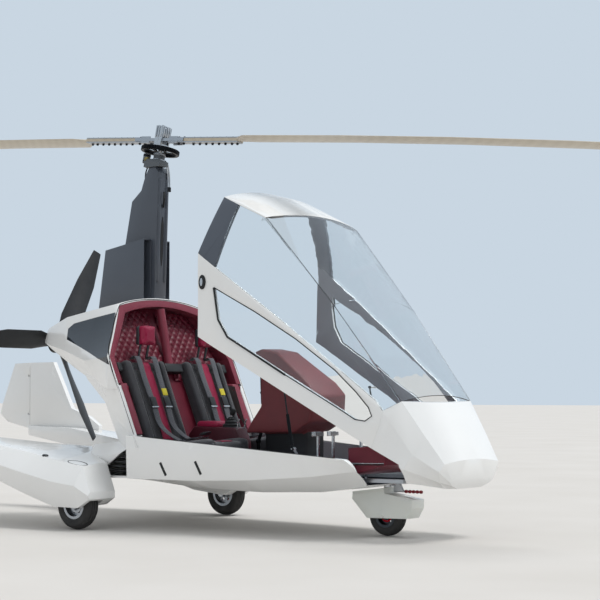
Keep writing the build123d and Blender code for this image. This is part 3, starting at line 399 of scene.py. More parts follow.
def soften(piece, width, segments=2, angle=28):
    """Rounds every edge that is sharper than the angle."""
    bevel = piece.modifiers.new("soft_edges", "BEVEL")
    bevel.width = width
    bevel.segments = segments
    bevel.limit_method = "ANGLE"
    bevel.angle_limit = math.radians(angle)
    bevel.use_clamp_overlap = True
    apply_modifiers(piece)


def settle(piece, name, material, smooth=40, body="airframe"):
    """Names a piece, puts its place into its mesh, and gives it a body and a finish."""
    piece.name = name
    piece.data.name = name
    select_only(piece)
    bpy.ops.object.transform_apply(location=True, rotation=True, scale=True)
    piece.data.materials.clear()
    piece.data.materials.append(material)
    bpy.ops.object.shade_smooth_by_angle(angle=math.radians(smooth))
    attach(piece, body)
    return piece


def group(pieces, name, material, place=Matrix.Identity(4), body="airframe"):
    """Several meshes joined, moved as one and finished as one piece."""
    select_only(*pieces)
    bpy.ops.object.join()
    piece = bpy.context.object
    piece.data.transform(place)
    return settle(piece, name, material, body=body)


def block_at(place, size, soft=0.002, segments=2):
    """A small block: a cube at its size, its edges broken by a bevel."""
    bpy.ops.object.select_all(action="DESELECT")
    bpy.ops.mesh.primitive_cube_add(size=1)
    piece = bpy.context.object
    piece.scale = size
    bpy.ops.object.transform_apply(location=True, rotation=True, scale=True)
    bpy.ops.object.mode_set(mode="EDIT")
    bpy.ops.mesh.bevel(offset=soft, segments=segments, affect="EDGES")
    bpy.ops.object.mode_set(mode="OBJECT")
    piece.data.transform(at(place))
    return piece


# %% [markdown]
# ## Moulded shells
# The real shells come out of polished moulds, so their edges are rounded by about a
# centimetre. Each CAD shell is copied, its loose triangles are joined into whole faces, and a
# bevel rounds its edges. The inner faces, which point to the middle of the machine, are bare
# laminate or trim, and get a second material.

# %% Soft-edged copies of the shells
WELD = 0.00002
FLAT_ANGLE = 0.02
BOOM_ANGLE = 14


def shell(node, slot, width, material, inner=None, inner_test=None, angle=28):
    """A soft-edged piece that stands for a CAD node."""
    source = nodes[node]
    piece = source.copy()
    piece.data = source.data.copy()
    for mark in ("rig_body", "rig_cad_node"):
        if mark in piece:
            del piece[mark]
    bpy.context.scene.collection.objects.link(piece)
    piece.hide_render = False
    select_only(piece)
    bpy.ops.object.mode_set(mode="EDIT")
    bpy.ops.mesh.select_all(action="SELECT")
    bpy.ops.mesh.remove_doubles(threshold=WELD)
    bpy.ops.mesh.dissolve_limited(angle_limit=FLAT_ANGLE)
    bpy.ops.object.mode_set(mode="OBJECT")
    before = len(piece.data.polygons)
    soften(piece, width, 3, angle)
    settle(piece, f"soft_{node}", material, body=source["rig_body"])
    if inner:
        piece.data.materials.append(inner)
        for face in piece.data.polygons:
            if inner_test(face.center, face.normal):
                face.material_index = 1
    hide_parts(node)
    print(piece.name, before, "faces became", len(piece.data.polygons))


def faces_inward(centre, normal):
    """True for a face that looks towards the machine's middle plane."""
    return normal.y * math.copysign(1, centre.y) < -0.2


def inside_tub(centre, normal):
    """True for the tub's inner walls and its floor's upper side."""
    return faces_inward(centre, normal) or (normal.z > 0.6 and centre.z < 0.42)


def below_dash(centre, normal):
    """True for the dash's column, which is black below the covered head."""
    return centre.z < 0.655


def canopy_inside(centre, normal):
    """True for the canopy's faces that look down and forward into the open cabin."""
    middle = Vector((1.45, 0, 1.25)) if centre.x < 1.9 else Vector((2.17, 0, 0.62))
    return normal.dot(centre - middle) < 0


for node, slot, width, *finish in (
        ("cockpit_tub", "white_gelcoat", 0.011, white_gelcoat, inner_laminate, inside_tub),
        ("rear_cowl", "white_gelcoat", 0.006, white_gelcoat, inner_laminate, faces_inward),
        ("corner_pillars", "white_gelcoat", 0.012, white_gelcoat),
        ("rear_deck", "white_gelcoat", 0.008, white_gelcoat),
        ("tail_booms", "white_gelcoat", 0.018, white_gelcoat, None, None, BOOM_ANGLE),
        ("tail_fins", "white_gelcoat", 0.010, white_gelcoat),
        ("rudder_port", "white_gelcoat", 0.003, white_gelcoat),
        ("rudder_starboard", "white_gelcoat", 0.003, white_gelcoat),
        ("mast_fairing", "carbon_laminate", 0.010, dark_laminate),
        ("mast_scoops", "carbon_laminate", 0.0025, dark_laminate),
        ("canopy_roof", "white_gelcoat", 0.008, white_gelcoat, inner_laminate, canopy_inside),
        ("canopy_pillars", "carbon_laminate", 0.006, dark_laminate),
        ("canopy_frame", "white_gelcoat", 0.008, white_gelcoat, inner_laminate, faces_inward),
        ("canopy_nose", "white_gelcoat", 0.010, white_gelcoat, inner_laminate, canopy_inside),
        ("nose_spat", "white_gelcoat", 0.008, grey_gelcoat),
        ("arch_lining", "burgundy_leather", 0.012, rim_leather),
        ("side_linings", "burgundy_leather", 0.016, rim_leather),
        ("dash_binnacle", "burgundy_leather", 0.016, dash_leather, black_plastic, below_dash),
        ("centre_console", "carbon_laminate", 0.014, dark_leather),
        ("foot_box", "burgundy_leather", 0.004, deep_leather),
        ("engine_block", "engine_casting", 0.008, casting),
        ("seat_bases", "carbon_laminate", 0.010, black_plastic),
        ("rotor_tower", "grey_alloy", 0.002, steel),
        ("rotor_hub_bar", "plated_steel", 0.002, alloy),
        ("rotor_head", "black_alloy", 0.002, casting)):
    shell(node, slot, width, *finish)

# %% [markdown]
# ## Seats
# Each seat is foam under a stitched charcoal cover, with raised side bolsters and a burgundy
# stripe down its middle. A block in the CAD cushion's space is remeshed, carved, and blown up
# a little with the Cloth modifier, as the cover stands over the foam. The seams come last,
# because a remesh would close them.

# %% Helpers for padded pieces
PUFF = 4
PUFF_FRAMES = 20


def padded_block(place, size, voxel, bolster, depth, cap):
    """A padded form in its own axes: x across, y along, z out from the back at zero."""
    bpy.ops.object.select_all(action="DESELECT")
    bpy.ops.mesh.primitive_cube_add(size=1, location=(0, size[1] / 2, size[2] / 2))
    pad = bpy.context.object
    pad.scale = size
    bpy.ops.object.transform_apply(location=True, rotation=True, scale=True)
    soften(pad, min(size) * 0.22, 3)
    remesh = pad.modifiers.new("even_faces", "REMESH")
    remesh.mode = "VOXEL"
    remesh.voxel_size = voxel
    apply_modifiers(pad)
    # The seat's middle lies lower than its bolsters
    for vertex in pad.data.vertices:
        if vertex.co.z > size[2] * 0.5 and bolster:
            inner = min(1, max(0, (bolster - abs(vertex.co.x)) / 0.035))
            vertex.co.z -= depth * inner * inner * (3 - 2 * inner)
    before = [vertex.co.copy() for vertex in pad.data.vertices]
    cover = pad.modifiers.new("cover", "CLOTH")
    cover.settings.use_pressure = True
    cover.settings.uniform_pressure_force = PUFF
    cover.settings.effector_weights.gravity = 0
    cover.settings.quality = 3
    cover.point_cache.frame_end = PUFF_FRAMES
    for frame_number in range(1, PUFF_FRAMES + 1):
        bpy.context.scene.frame_set(frame_number)
    apply_modifiers(pad)
    bpy.context.scene.frame_set(1)
    for vertex, start in zip(pad.data.vertices, before):
        moved = vertex.co - start
        if moved.length > cap:
            vertex.co = start + moved * (cap / moved.length)
    pad.data.transform(place)
    print("padded block", len(pad.data.polygons), "faces")
    return pad


def axes_at(corner, along, out):
    """The matrix that takes x across, y along, z out to the machine's own axes."""
    along, out = Vector(along).normalized(), Vector(out).normalized()
    across = along.cross(out)
    return at(corner) @ Matrix((across, along, out)).transposed().to_4x4()


def seam(pad, place, lines):
    """Presses sewn lines into a pad. Each line is (axis 0 or 1, value, least, most)."""
    back = place.inverted()
    for vertex in pad.data.vertices:
        spot = back @ vertex.co
        press = 0.0
        for axis, value, least, most in lines:
            if least <= spot[1 - axis] <= most:
                press = max(press, 1 - abs(spot[axis] - value) / SEAM_HALF)
        if press > 0 and spot.z > 0.03:
            spot.z -= SEAM_DEPTH * press ** 0.6
            vertex.co = place @ spot


def both_seats(piece, name, material, smooth=40):
    """Finishes a starboard seat's piece, and a copy with its own mesh on the port seat."""
    settle(piece, f"{name}_starboard", material, smooth)
    twin = piece.copy()
    twin.data = piece.data.copy()
    bpy.context.scene.collection.objects.link(twin)
    twin.name = f"{name}_port"
    twin.data.name = twin.name
    twin.data.transform(at((0, 2 * SEAT_Y, 0)))
    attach(twin, "airframe")
    return twin


def padded_pair(piece, name, material, node):
    """Padded pieces on both seats that stand for a CAD node."""
    for each in (piece, both_seats(piece, name, material, 60)):
        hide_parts(node)


# %% Seat backs and cushions
SEAT_Y = 0.325
SEAT_VOXEL = 0.0105
SEAM_DEPTH = 0.007
SEAM_HALF = 0.016
BACK_FOOT = Vector((0.402, -SEAT_Y, 0.572))
BACK_ALONG = Vector((-0.38842, 0, 0.92148))
BACK_OUT = Vector((0.92148, 0, 0.38842))
BACK_DEPTH = 0.098
CUSHION_FOOT = Vector((0.424, -SEAT_Y, 0.470))
CUSHION_ALONG = Vector((0.99537, 0, 0.0964))
CUSHION_OUT = Vector((-0.0964, 0, 0.99537))

back_place = axes_at(BACK_FOOT - BACK_OUT * BACK_DEPTH, BACK_ALONG, BACK_OUT)
seat_back = padded_block(back_place, (0.436, 0.655, 0.090), SEAT_VOXEL, 0.165, 0.026, 0.010)
seam(seat_back, back_place, [(0, -0.152, 0, 1), (0, 0.152, 0, 1), (1, 0.575, -0.15, 0.15)])
padded_pair(seat_back, "seat_back", seat_cloth, "seat_backs")

cushion_place = axes_at(CUSHION_FOOT, CUSHION_ALONG, CUSHION_OUT)
cushion = padded_block(cushion_place, (0.436, 0.505, 0.104), SEAT_VOXEL, 0.160, 0.020, 0.009)
seam(cushion, cushion_place, [(0, -0.150, 0, 1), (0, 0.150, 0, 1), (1, 0.40, -0.15, 0.15)])
padded_pair(cushion, "seat_cushion", seat_cloth, "seat_cushions")


# %% [markdown]
# ## Strips, webbing and stripes
# Flat things that lie on a cushion, such as the burgundy stripe, the piping and the harness
# webbing, start as a flat strip along a few points. Shrinkwrap lays the stripe and the piping
# on the cushion, and Solidify gives each strip its thickness.

# %% A strip laid on a cushion
def from_bmesh(work):
    """An object made from a working mesh, its faces turned the same way."""
    bmesh.ops.recalc_face_normals(work, faces=work.faces)
    piece = bpy.data.objects.new("piece", bpy.data.meshes.new("piece"))
    bpy.context.scene.collection.objects.link(piece)
    work.to_mesh(piece.data)
    work.free()
    return piece


def lofted(rings):
    """A closed bar through rings of points, one ring after the next."""
    work = bmesh.new()
    loops = [[work.verts.new(point) for point in ring] for ring in rings]
    for one, two in zip(loops, loops[1:]):
        for i in range(len(one)):
            j = (i + 1) % len(one)
            work.faces.new((one[i], one[j], two[j], two[i]))
    work.faces.new(loops[0][::-1])
    work.faces.new(loops[-1])
    return from_bmesh(work)


def smooth_path(points, steps=6):
    """Points on a Catmull-Rom curve through the given ones."""
    points = [Vector(p) for p in points]
    padded = [2 * points[0] - points[1], *points, 2 * points[-1] - points[-2]]
    path = []
    for a, b, c, d in zip(padded, padded[1:], padded[2:], padded[3:]):
        for step in range(steps):
            t = step / steps
            path.append(0.5 * ((2 * b) + (c - a) * t + (2 * a - 5 * b + 4 * c - d) * t ** 2
                               + (3 * b - a - 3 * c + d) * t ** 3))
    return [*path, points[-1]]


def strip(points, across, width, thick, onto=None, lift=0.002, columns=5):
    """A flat band along points, laid on a piece and given its thickness."""
    across = Vector(across).normalized()
    work = bmesh.new()
    rows = []
    for point in smooth_path(points):
        rows.append([work.verts.new(point + across * width * (column / (columns - 1) - 0.5))
                     for column in range(columns)])
    for one, two in zip(rows, rows[1:]):
        for i in range(columns - 1):
            work.faces.new((one[i], one[i + 1], two[i + 1], two[i]))
    piece = from_bmesh(work)
    if onto:
        wrap = piece.modifiers.new("lie_on", "SHRINKWRAP")
        wrap.target = onto
        wrap.wrap_method = "NEAREST_SURFACEPOINT"
        wrap.wrap_mode = "OUTSIDE_SURFACE"
        wrap.offset = lift
    body = piece.modifiers.new("thickness", "SOLIDIFY")
    body.thickness = thick
    body.offset = 0
    apply_modifiers(piece)
    soften(piece, thick * 0.3, 2, 40)
    return piece


def back_point(across, along, out=0.0):
    """A place on the starboard seat back, out from its CAD face."""
    return BACK_FOOT + Vector((0, across, 0)) + BACK_ALONG * along + BACK_OUT * out


def cushion_point(across, along, out=0.0):
    """A place on the starboard cushion, out from its upper face."""
    return Vector((0.430, -SEAT_Y + across, 0.566)) + CUSHION_ALONG * along + CUSHION_OUT * out


ACROSS = (0, 1, 0)
STRIPE = (ACROSS, 0.105, 0.005)
PIPING = (ACROSS, 0.008, 0.007)
back_stripe = [back_point(0, v, -0.015) for v in (0.03, 0.2, 0.4, 0.6, 0.655)]
both_seats(strip(back_stripe, *STRIPE, seat_back, 0.0035), "seat_back_stripe",
           bright_leather)
cushion_stripe = [cushion_point(0, v, -0.01) for v in (0.06, 0.2, 0.35, 0.46)]
both_seats(strip(cushion_stripe, *STRIPE, cushion, 0.0035), "seat_cushion_stripe",
           bright_leather)
for side, word in ((-1, "outer"), (1, "inner")):
    run = [back_point(side * 0.152, v, -0.012) for v in (0.02, 0.2, 0.4, 0.6, 0.64)]
    both_seats(strip(run, *PIPING, seat_back, 0.003, 3), f"seat_piping_{word}",
               bolster_leather)
print("seats dressed")

# %% [markdown]
# ## Harness
# Four grey straps meet in a round buckle over the cushion: two from behind the shoulders and
# two from the hips. Each shoulder strap has an adjuster with a steel bar, and the inner one
# also has a yellow tag, left blank.

# %% Harness
webbing = woven("grey_harness_webbing", "#4C4F57", "#383A41", 0.003, 0.7)
tag_cloth = woven("yellow_tag_cloth", "#D6C81E", "#BFB012", 0.003, 0.8)
STRAP_WIDE, STRAP_THICK = 0.054, 0.0035


def on_back(across, along, out):
    """The frame of a place on the starboard seat back."""
    return axes_at(back_point(across, along, out), BACK_ALONG, BACK_OUT)


for side, word in ((-1, "outer"), (1, "inner")):
    run = [back_point(side * across, along, out) for across, along, out in (
        (0.085, 0.672, -0.055), (0.085, 0.662, 0.004), (0.082, 0.5, 0.004),
        (0.072, 0.3, 0.006), (0.068, 0.13, 0.012))]
    run += [cushion_point(side * 0.058, 0.11, 0.026), cushion_point(side * 0.036, 0.25, 0.036)]
    strap = strip(run, ACROSS, STRAP_WIDE, STRAP_THICK, columns=3)
    both_seats(strap, f"shoulder_strap_{word}", webbing)
    if word == "inner":
        tag = block_at(on_back(side * 0.078, 0.395, 0.011), (0.050, 0.052, 0.005), 0.0015, 3)
        both_seats(tag, "strap_tag", tag_cloth)
    for along, high, wide, finish, part in ((0.320, 0.070, 0.058, black_plastic, "adjuster"),
                                            (0.280, 0.012, 0.068, steel, "bar")):
        buckle = block_at(on_back(side * 0.072, along, 0.012), (wide, high, 0.012), 0.003, 3)
        both_seats(buckle, f"strap_{part}_{word}", finish)
    run = [cushion_point(side * across, along, out) for across, along, out in (
        (0.21, -0.01, -0.02), (0.175, 0.03, 0.004), (0.115, 0.13, 0.026), (0.03, 0.255, 0.038))]
    strap = strip(run, (0.9, 0, 0.25), STRAP_WIDE, STRAP_THICK, columns=3)
    both_seats(strap, f"lap_strap_{word}", webbing)
bpy.ops.object.select_all(action="DESELECT")
bpy.ops.mesh.primitive_cylinder_add(vertices=28, radius=0.042, depth=0.026)
rose = bpy.context.object
bpy.ops.object.mode_set(mode="EDIT")
bpy.ops.mesh.bevel(offset=0.004, segments=2, affect="EDGES")
bpy.ops.object.mode_set(mode="OBJECT")
rose_place = axes_at(cushion_point(0, 0.27, 0.062), CUSHION_ALONG, BACK_OUT * 1.6 + CUSHION_OUT)
rose.data.transform(rose_place)
both_seats(rose, "harness_buckle", black_plastic)
for turn in (0, 60, 120):
    wing_place = rose_place @ spin(turn, "Z") @ axes_at((0, 0, 0.0135), (1, 0, 0), (0, 0, 1))
    wing = block_at(wing_place, (0.062, 0.009, 0.004), 0.001, 3)
    both_seats(wing, f"buckle_wing_{turn}", steel)
print("harness made")

# %% [markdown]
# ## Headrests
# A crimson leather cushion stands in a dark shell on two round posts.

# %% Headrests
head_place = axes_at((0.134, -SEAT_Y, 1.272), (0, 0, 1), (1, 0, 0.03))
head_pad = padded_block(head_place, (0.132, 0.130, 0.052), 0.0055, 0, 0, 0.006)
padded_pair(head_pad, "headrest_pad", bright_leather, "headrests")
shell_place = axes_at((0.129, -SEAT_Y, 1.337), (0, 0, 1), (1, 0, 0))
both_seats(block_at(shell_place, (0.143, 0.132, 0.032), 0.012, 3), "headrest_shell",
           bolster_leather)
# Black brackets carry the upper corners of the seat backs on the bulkhead
for word, y, wide in (("middle", 0, 0.186), ("starboard", -0.575, 0.046), ("port", 0.575, 0.046)):
    bracket = block_at(on_back(SEAT_Y + y, 0.605, -0.058), (wide, 0.066, 0.052), 0.007, 3)
    settle(bracket, f"seat_bracket_{word}", black_plastic)

# %% [markdown]
# ## Quilted bulkhead
# Behind the seats the wall is diamond-quilted leather in two panels, one each side of the
# padded mast tube. A fine grid is pushed out between its stitch lines, which cross every 68 mm.

# %% Quilted panels
DIAMOND_WIDE = 0.068
DIAMOND_HIGH = 0.070
PILLOW = 0.013


def wall_x(z):
    """The bulkhead's front face."""
    return 0.3114 - 0.4215 * (z - 0.5338)


def quilted(name, side):
    """A quilted panel on one side of the mast tube, cut to the cabin's outline."""
    bpy.ops.object.select_all(action="DESELECT")
    bpy.ops.mesh.primitive_grid_add(x_subdivisions=112, y_subdivisions=100, size=1)
    panel = bpy.context.object
    for vertex in panel.data.vertices:
        y = 0.036 + (vertex.co.x + 0.5) * 0.564
        z = 1.02 + (vertex.co.y + 0.5) * 0.50
        one = math.pi * (y / DIAMOND_WIDE + z / DIAMOND_HIGH)
        two = math.pi * (y / DIAMOND_WIDE - z / DIAMOND_HIGH)
        rise = PILLOW * abs(math.sin(one) * math.sin(two)) ** 0.45
        vertex.co = (wall_x(z) + 0.004 + rise * 0.92, side * y, z + rise * 0.38)
    select_only(panel)
    bpy.ops.object.mode_set(mode="EDIT")
    # The cabin's sides lean in: two straight cuts follow them
    for y, z, lean in ((0.612, 1.09, 0.50), (0.50, 1.36, 0.58)):
        bpy.ops.mesh.select_all(action="SELECT")
        bpy.ops.mesh.bisect(plane_co=(0, side * y, z), plane_no=(0, side, lean), clear_outer=True)
    bpy.ops.mesh.select_all(action="SELECT")
    bpy.ops.mesh.normals_make_consistent(inside=False)
    bpy.ops.object.mode_set(mode="OBJECT")
    if sum(face.normal.x for face in panel.data.polygons) < 0:
        panel.data.flip_normals()
    body = panel.modifiers.new("leather", "SOLIDIFY")
    body.thickness = 0.003
    body.offset = -1
    apply_modifiers(panel)
    settle(panel, name, deep_leather, 60)


for side, word in SIDES:
    quilted(f"quilted_panel_{word}", side)
print("bulkhead quilted")

# %% [markdown]
# ## Seals and trims
# A black rubber welt runs round the arch where the canopy lands, a dark lip stands inside the
# tub's sill, and the canopy's lower windows sit in thin seals. Each is a tube or a bar drawn
# along points on the shells.

# %% Bars and tubes along points
def tube(name, points, radius, material, smooth=True, sides=8, body="airframe"):
    """A round bar along a smooth or straight path, made from a curve."""
    curve = bpy.data.curves.new(name, "CURVE")
    curve.dimensions = "3D"
    path = smooth_path(points, 5) if smooth else [Vector(p) for p in points]
    line = curve.splines.new("POLY")
    line.points.add(len(path) - 1)
    for knot, point in zip(line.points, path):
        knot.co = (*point, 1)
    curve.bevel_depth = radius
    curve.bevel_resolution = max(1, sides // 4)
    curve.use_fill_caps = True
    made = bpy.data.objects.new(name, curve)
    bpy.context.scene.collection.objects.link(made)
    select_only(made)
    bpy.ops.object.convert(target="MESH")
    settle(bpy.context.object, name, material, 50, body)


def turned(steps, place, count=48, ring=False):
    """A turned form: a circle drawn out along its axis and scaled at each step."""
    bpy.ops.object.select_all(action="DESELECT")
    radius, height = steps[0]
    bpy.ops.mesh.primitive_circle_add(vertices=count, radius=radius, location=(0, 0, height),
                                      fill_type="NOTHING" if ring else "NGON")
    piece = bpy.context.object
    bpy.ops.object.transform_apply(location=True, rotation=True, scale=True)
    bpy.ops.object.mode_set(mode="EDIT")
    bpy.ops.mesh.select_all(action="SELECT")
    for next_radius, next_height in steps[1:]:
        bpy.ops.mesh.extrude_region_move(
            TRANSFORM_OT_translate={"value": (0, 0, next_height - height)})
        share = next_radius / radius
        bpy.ops.transform.resize(value=(share, share, 1), center_override=(0, 0, next_height))
        radius, height = next_radius, next_height
    bpy.ops.mesh.select_all(action="SELECT")
    bpy.ops.mesh.remove_doubles(threshold=0.00001)
    bpy.ops.mesh.normals_make_consistent(inside=False)
    bpy.ops.object.mode_set(mode="OBJECT")
    piece.data.transform(at(place))
    return piece


def band(inner, outer, low, high, place, count):
    """A turned ring with a rectangular section."""
    return turned([(inner, low), (outer, low), (outer, high), (inner, high), (inner, low)],
                  place, count, ring=True)


# %% Arch welt, sill lips and window seals
CANOPY_OPEN = at((2.28, 0, 0.375)) @ spin(24, "Y") @ at((-1.976, 0, -0.375))
WELT_R = 0.0048
WELT_BACK = 0.0038
LATCH_LEAN = -113
# The arch's front edge, port side, from the sill to the crown (x, y, z)
arch_edge = [(0.366, 0.690, 0.650), (0.250, 0.692, 0.916), (0.137, 0.690, 1.180),
             (0.085, 0.604, 1.350), (0.034, 0.492, 1.520), (0.020, 0.420, 1.566),
             (0.010, 0.220, 1.600), (0.007, 0.0, 1.611)]
whole_arch = [*arch_edge, *[(x, -y, z) for x, y, z in reversed(arch_edge[:-1])]]
tube("arch_welt", [(x - WELT_BACK, y, z) for x, y, z in whole_arch], WELT_R,
     rubber)

sill = [(0.43, 0.6645, 0.635), (0.84, 0.6285, 0.602), (1.30, 0.5765, 0.565),
        (1.70, 0.5245, 0.533), (1.90, 0.4966, 0.518)]
# The lip's section: a wall inside the sill and a flange on it (out, up)
LIP = ((0, -0.030), (0.009, -0.030), (0.009, 0.0005), (0.026, 0.0005), (0.026, 0.0025), (0, 0.0025))
for side, word in SIDES:
    lip = lofted([[(x, side * (y + out), z + up) for out, up in LIP] for x, y, z in sill])
    soften(lip, 0.0008)
    settle(lip, f"sill_lip_{word}", rubber)


def canopy_side(x, z, out=0.0):
    """A place on the shut canopy's side between its belt and its sill."""
    stations = [(0.0, 0.700, 1.213, 0.700, 0.710), (0.2, 0.698, 1.165, 0.700, 0.690),
                (0.459, 0.668, 1.100, 0.690, 0.664), (1.15, 0.582, 0.925, 0.606, 0.595),
                (1.834, 0.494, 0.755, 0.524, 0.527)]
    for one, two in zip(stations, stations[1:]):
        if x <= two[0] or two is stations[-1]:
            t = (x - one[0]) / (two[0] - one[0])
            belt_y, belt_z, low_y, low_z = [a + (b - a) * t for a, b in zip(one[1:], two[1:])]
            break
    t = (belt_z - z) / (belt_z - low_z)
    return Vector((x, belt_y + (low_y - belt_y) * t + out, z))


window = [(0.352, 1.018), (0.470, 0.838), (0.580, 0.762), (1.069, 0.706), (1.536, 0.660),
          (1.629, 0.648), (1.694, 0.666), (1.722, 0.712), (1.680, 0.752), (1.562, 0.806),
          (1.376, 0.872), (1.045, 0.944), (0.700, 0.990), (0.352, 1.018)]
for side, word in SIDES:
    mirror_side = Matrix.Scale(side, 4, (0, 1, 0))
    for name, edge, out, radius in (("window_seal", window, 0.001, 0.0035),
                                    ("window_rubber", window[:4], 0.004, 0.007)):
        path = [CANOPY_OPEN @ (mirror_side @ canopy_side(x, z, out)) for x, z in edge]
        tube(f"{name}_{word}", path, radius, rubber, False, body="canopy")
    # Oval latch handle behind the window: a chrome lever in a black cup
    spot = mirror_side @ canopy_side(0.251, 1.016, 0.001)
    for name, size, depth, slot, finish in (
            ("latch_cup", (0.048, 0.028), 0.007, "tyre_rubber", rubber),
            ("latch_lever", (0.030, 0.013), 0.011, "plated_steel", steel)):
        oval = spin(LATCH_LEAN, "Y") @ spin(90, "X") @ Matrix.Diagonal((*size, 1, 1))
        disc = turned([(0.9, -depth), (1.0, -depth * 0.4), (1.0, depth * 0.4), (0.86, depth)],
                      CANOPY_OPEN @ at(spot) @ oval, 28)
        settle(disc, f"{name}_{word}", finish, body="canopy")
print("seals and latches made")

# %% [markdown]
# ## Rotor head
# Here the machine shows its machined parts: a ribbed tower carries the bar that holds both
# blades, bolts cross the straps, a toothed black ring is for the starter, and two rods run
# down to the mast. Everything is drawn level about the hub, then leaned as the rotor leans.

# %% Rotor details
LEAN = at((0.00861, 0, 2.782)) @ spin(-8.0, "X") @ spin(5.2, "Y")
RING_Z = -0.078
RING_TEETH = 72
RING_SPOKES = 6


def hexagon(centre, radius, height, up=1):
    """A hexagonal bolt head with a washer under it."""
    steps = [(radius * 1.35, 0), (radius * 1.35, height * 0.2), (radius, height * 0.2),
             (radius, height * 0.85), (radius * 0.8, height)]
    return turned([(r, h * up) for r, h in steps], centre, 6)


ribs = [block_at((x, y, 0.062), (0.011, 0.012, 0.084))
        for x in (-0.024, 0.0, 0.024) for y in (-0.048, 0.048)]
ribs += [block_at((x, y, 0.062), (0.012, 0.010, 0.084))
         for y in (-0.032, -0.011, 0.011, 0.032) for x in (-0.033, 0.033)]
ribs += [hexagon((x, y, 0.099), 0.009, 0.010) for x in (-0.018, 0.018) for y in (-0.034, 0.034)]
group(ribs, "tower_ribs", steel, LEAN, "rotor")

bolts = [hexagon((end * x, 0.012 if x > 0.25 else 0.0, up * 0.0188), 0.0085, 0.012, up)
         for end in (-1, 1)
         for x in (0.165, 0.215, 0.30, 0.36, 0.42, 0.48, 0.54, 0.60, 0.66, 0.71)
         for up in (-1, 1)]
group(bolts, "strap_bolts", dark_steel, LEAN, "rotor")
cheeks = [block_at((end * 0.135, side * 0.030, 0), (0.085, 0.010, 0.052))
          for end in (-1, 1) for side in (-1, 1)]
group(cheeks, "hub_cheeks", alloy, LEAN, "rotor")

gear = [band(0.118, 0.139, -0.094, -0.062, (0, 0, 0), 72)]
for index in range(RING_TEETH):
    place = spin(360 / RING_TEETH * index, "Z") @ at((0.1395, 0, RING_Z))
    gear.append(block_at(place, (0.005, 0.0062, 0.026), 0.001))
for index in range(RING_SPOKES):
    place = spin(360 / RING_SPOKES * index, "Z") @ at((0.072, 0, RING_Z))
    gear.append(block_at(place, (0.095, 0.016, 0.007)))
ring_gear = group(gear, "starter_ring", black_alloy, LEAN, "rotor")
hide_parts("rotor_ring")

bearing = turned([(0.030, -0.100), (0.045, -0.100), (0.045, -0.112), (0.040, -0.116),
                  (0.040, -0.140), (0.046, -0.144), (0.046, -0.160), (0.036, -0.164)], LEAN, 40)
settle(bearing, "bearing_housing", alloy)
head = [block_at((-0.02, side * 0.043, -0.166), (0.120, 0.012, 0.036)) for side in (-1, 1)]
head += [block_at((0.045, side * 0.022, -0.176), (0.014, 0.022, 0.034)) for side in (-1, 1)]
head += [hexagon((x, y, -0.152), 0.007, 0.010) for x in (-0.075, 0.035) for y in (-0.034, 0.034)]
group(head, "head_plates", casting, LEAN)
motor = turned([(0.012, -0.172), (0.026, -0.170), (0.028, -0.150), (0.026, -0.148),
                (0.026, -0.122), (0.028, -0.120), (0.028, -0.108), (0.012, -0.104)],
               LEAN @ at((-0.122, 0, 0)), 32)
settle(motor, "starter_motor", black_alloy)
relay = block_at(LEAN @ at((-0.085, -0.036, -0.150)), (0.030, 0.024, 0.030), 0.003)
settle(relay, "starter_relay",
       moulded("yellow_passivated_casing", "#9A8A3A", "#6E6428", 0.5))

for side, word in SIDES:
    y = 0.050 + side * 0.009
    tube(f"control_rod_{word}", [(0.036, y - 0.024, 2.606), (0.036, y - 0.006, 2.53),
                                 (0.034, y, 2.43)],
         0.005, steel, sides=12)
    rod_end = block_at((0.034, y, 2.425), (0.018, 0.014, 0.036), 0.004)
    settle(rod_end, f"rod_fitting_{word}", dark_steel)
    hose = [(-0.090, side * 0.020 - 0.020, 2.600), (-0.118, side * 0.034, 2.552),
            (-0.116, side * 0.040, 2.500), (-0.102, side * 0.045, 2.46)]
    tube(f"brake_hose_{word}", hose,
         0.005, rubber, sides=12)
tube("trim_hose", [(0.042, -0.01, 2.40), (0.050, -0.02, 2.36), (0.038, -0.01, 2.32),
                   (0.024, 0, 2.29)],
     0.008, rubber, sides=12)


# %% Ridges and the dark slot on the mast's front
def mast_front(z):
    """The mast's front edge, which leans forward as it rises."""
    return -0.004 + 0.0314 * (z - 1.52)


RIDGE_WIDE = 0.016
for y, word in ((-0.040, "starboard"), (0.040, "port")):
    ridge = lofted([[(mast_front(z) - 0.006, y - RIDGE_WIDE, z),
                     (mast_front(z) + 0.011, y - RIDGE_WIDE * 0.45, z),
                     (mast_front(z) + 0.011, y + RIDGE_WIDE * 0.45, z),
                     (mast_front(z) - 0.006, y + RIDGE_WIDE, z)] for z in (1.74, 1.95, 2.25, 2.50)])
    soften(ridge, 0.003, 3)
    settle(ridge, f"mast_ridge_{word}", dark_laminate)
slot_rings = []
for z, wide in ((1.86, 0.003), (1.93, 0.013), (2.05, 0.016), (2.16, 0.013), (2.22, 0.003)):
    back, front = mast_front(z) - 0.004, mast_front(z) + 0.0022
    slot_rings.append([(back, -wide, z), (front, -wide, z), (front, wide, z), (back, wide, z)])
settle(lofted(slot_rings), "mast_slot", rubber)
print("rotor head made")

# %% [markdown]
# ## Wheels
# The tyres are small aircraft tyres with four round grooves. Their profile is drawn as steps
# of radius and width, and turned. The rims get bolts, a valve and a hub cap.

# %% Tyres and rims
SEAT_SHARE = 0.52
RIM_BOLTS = 6


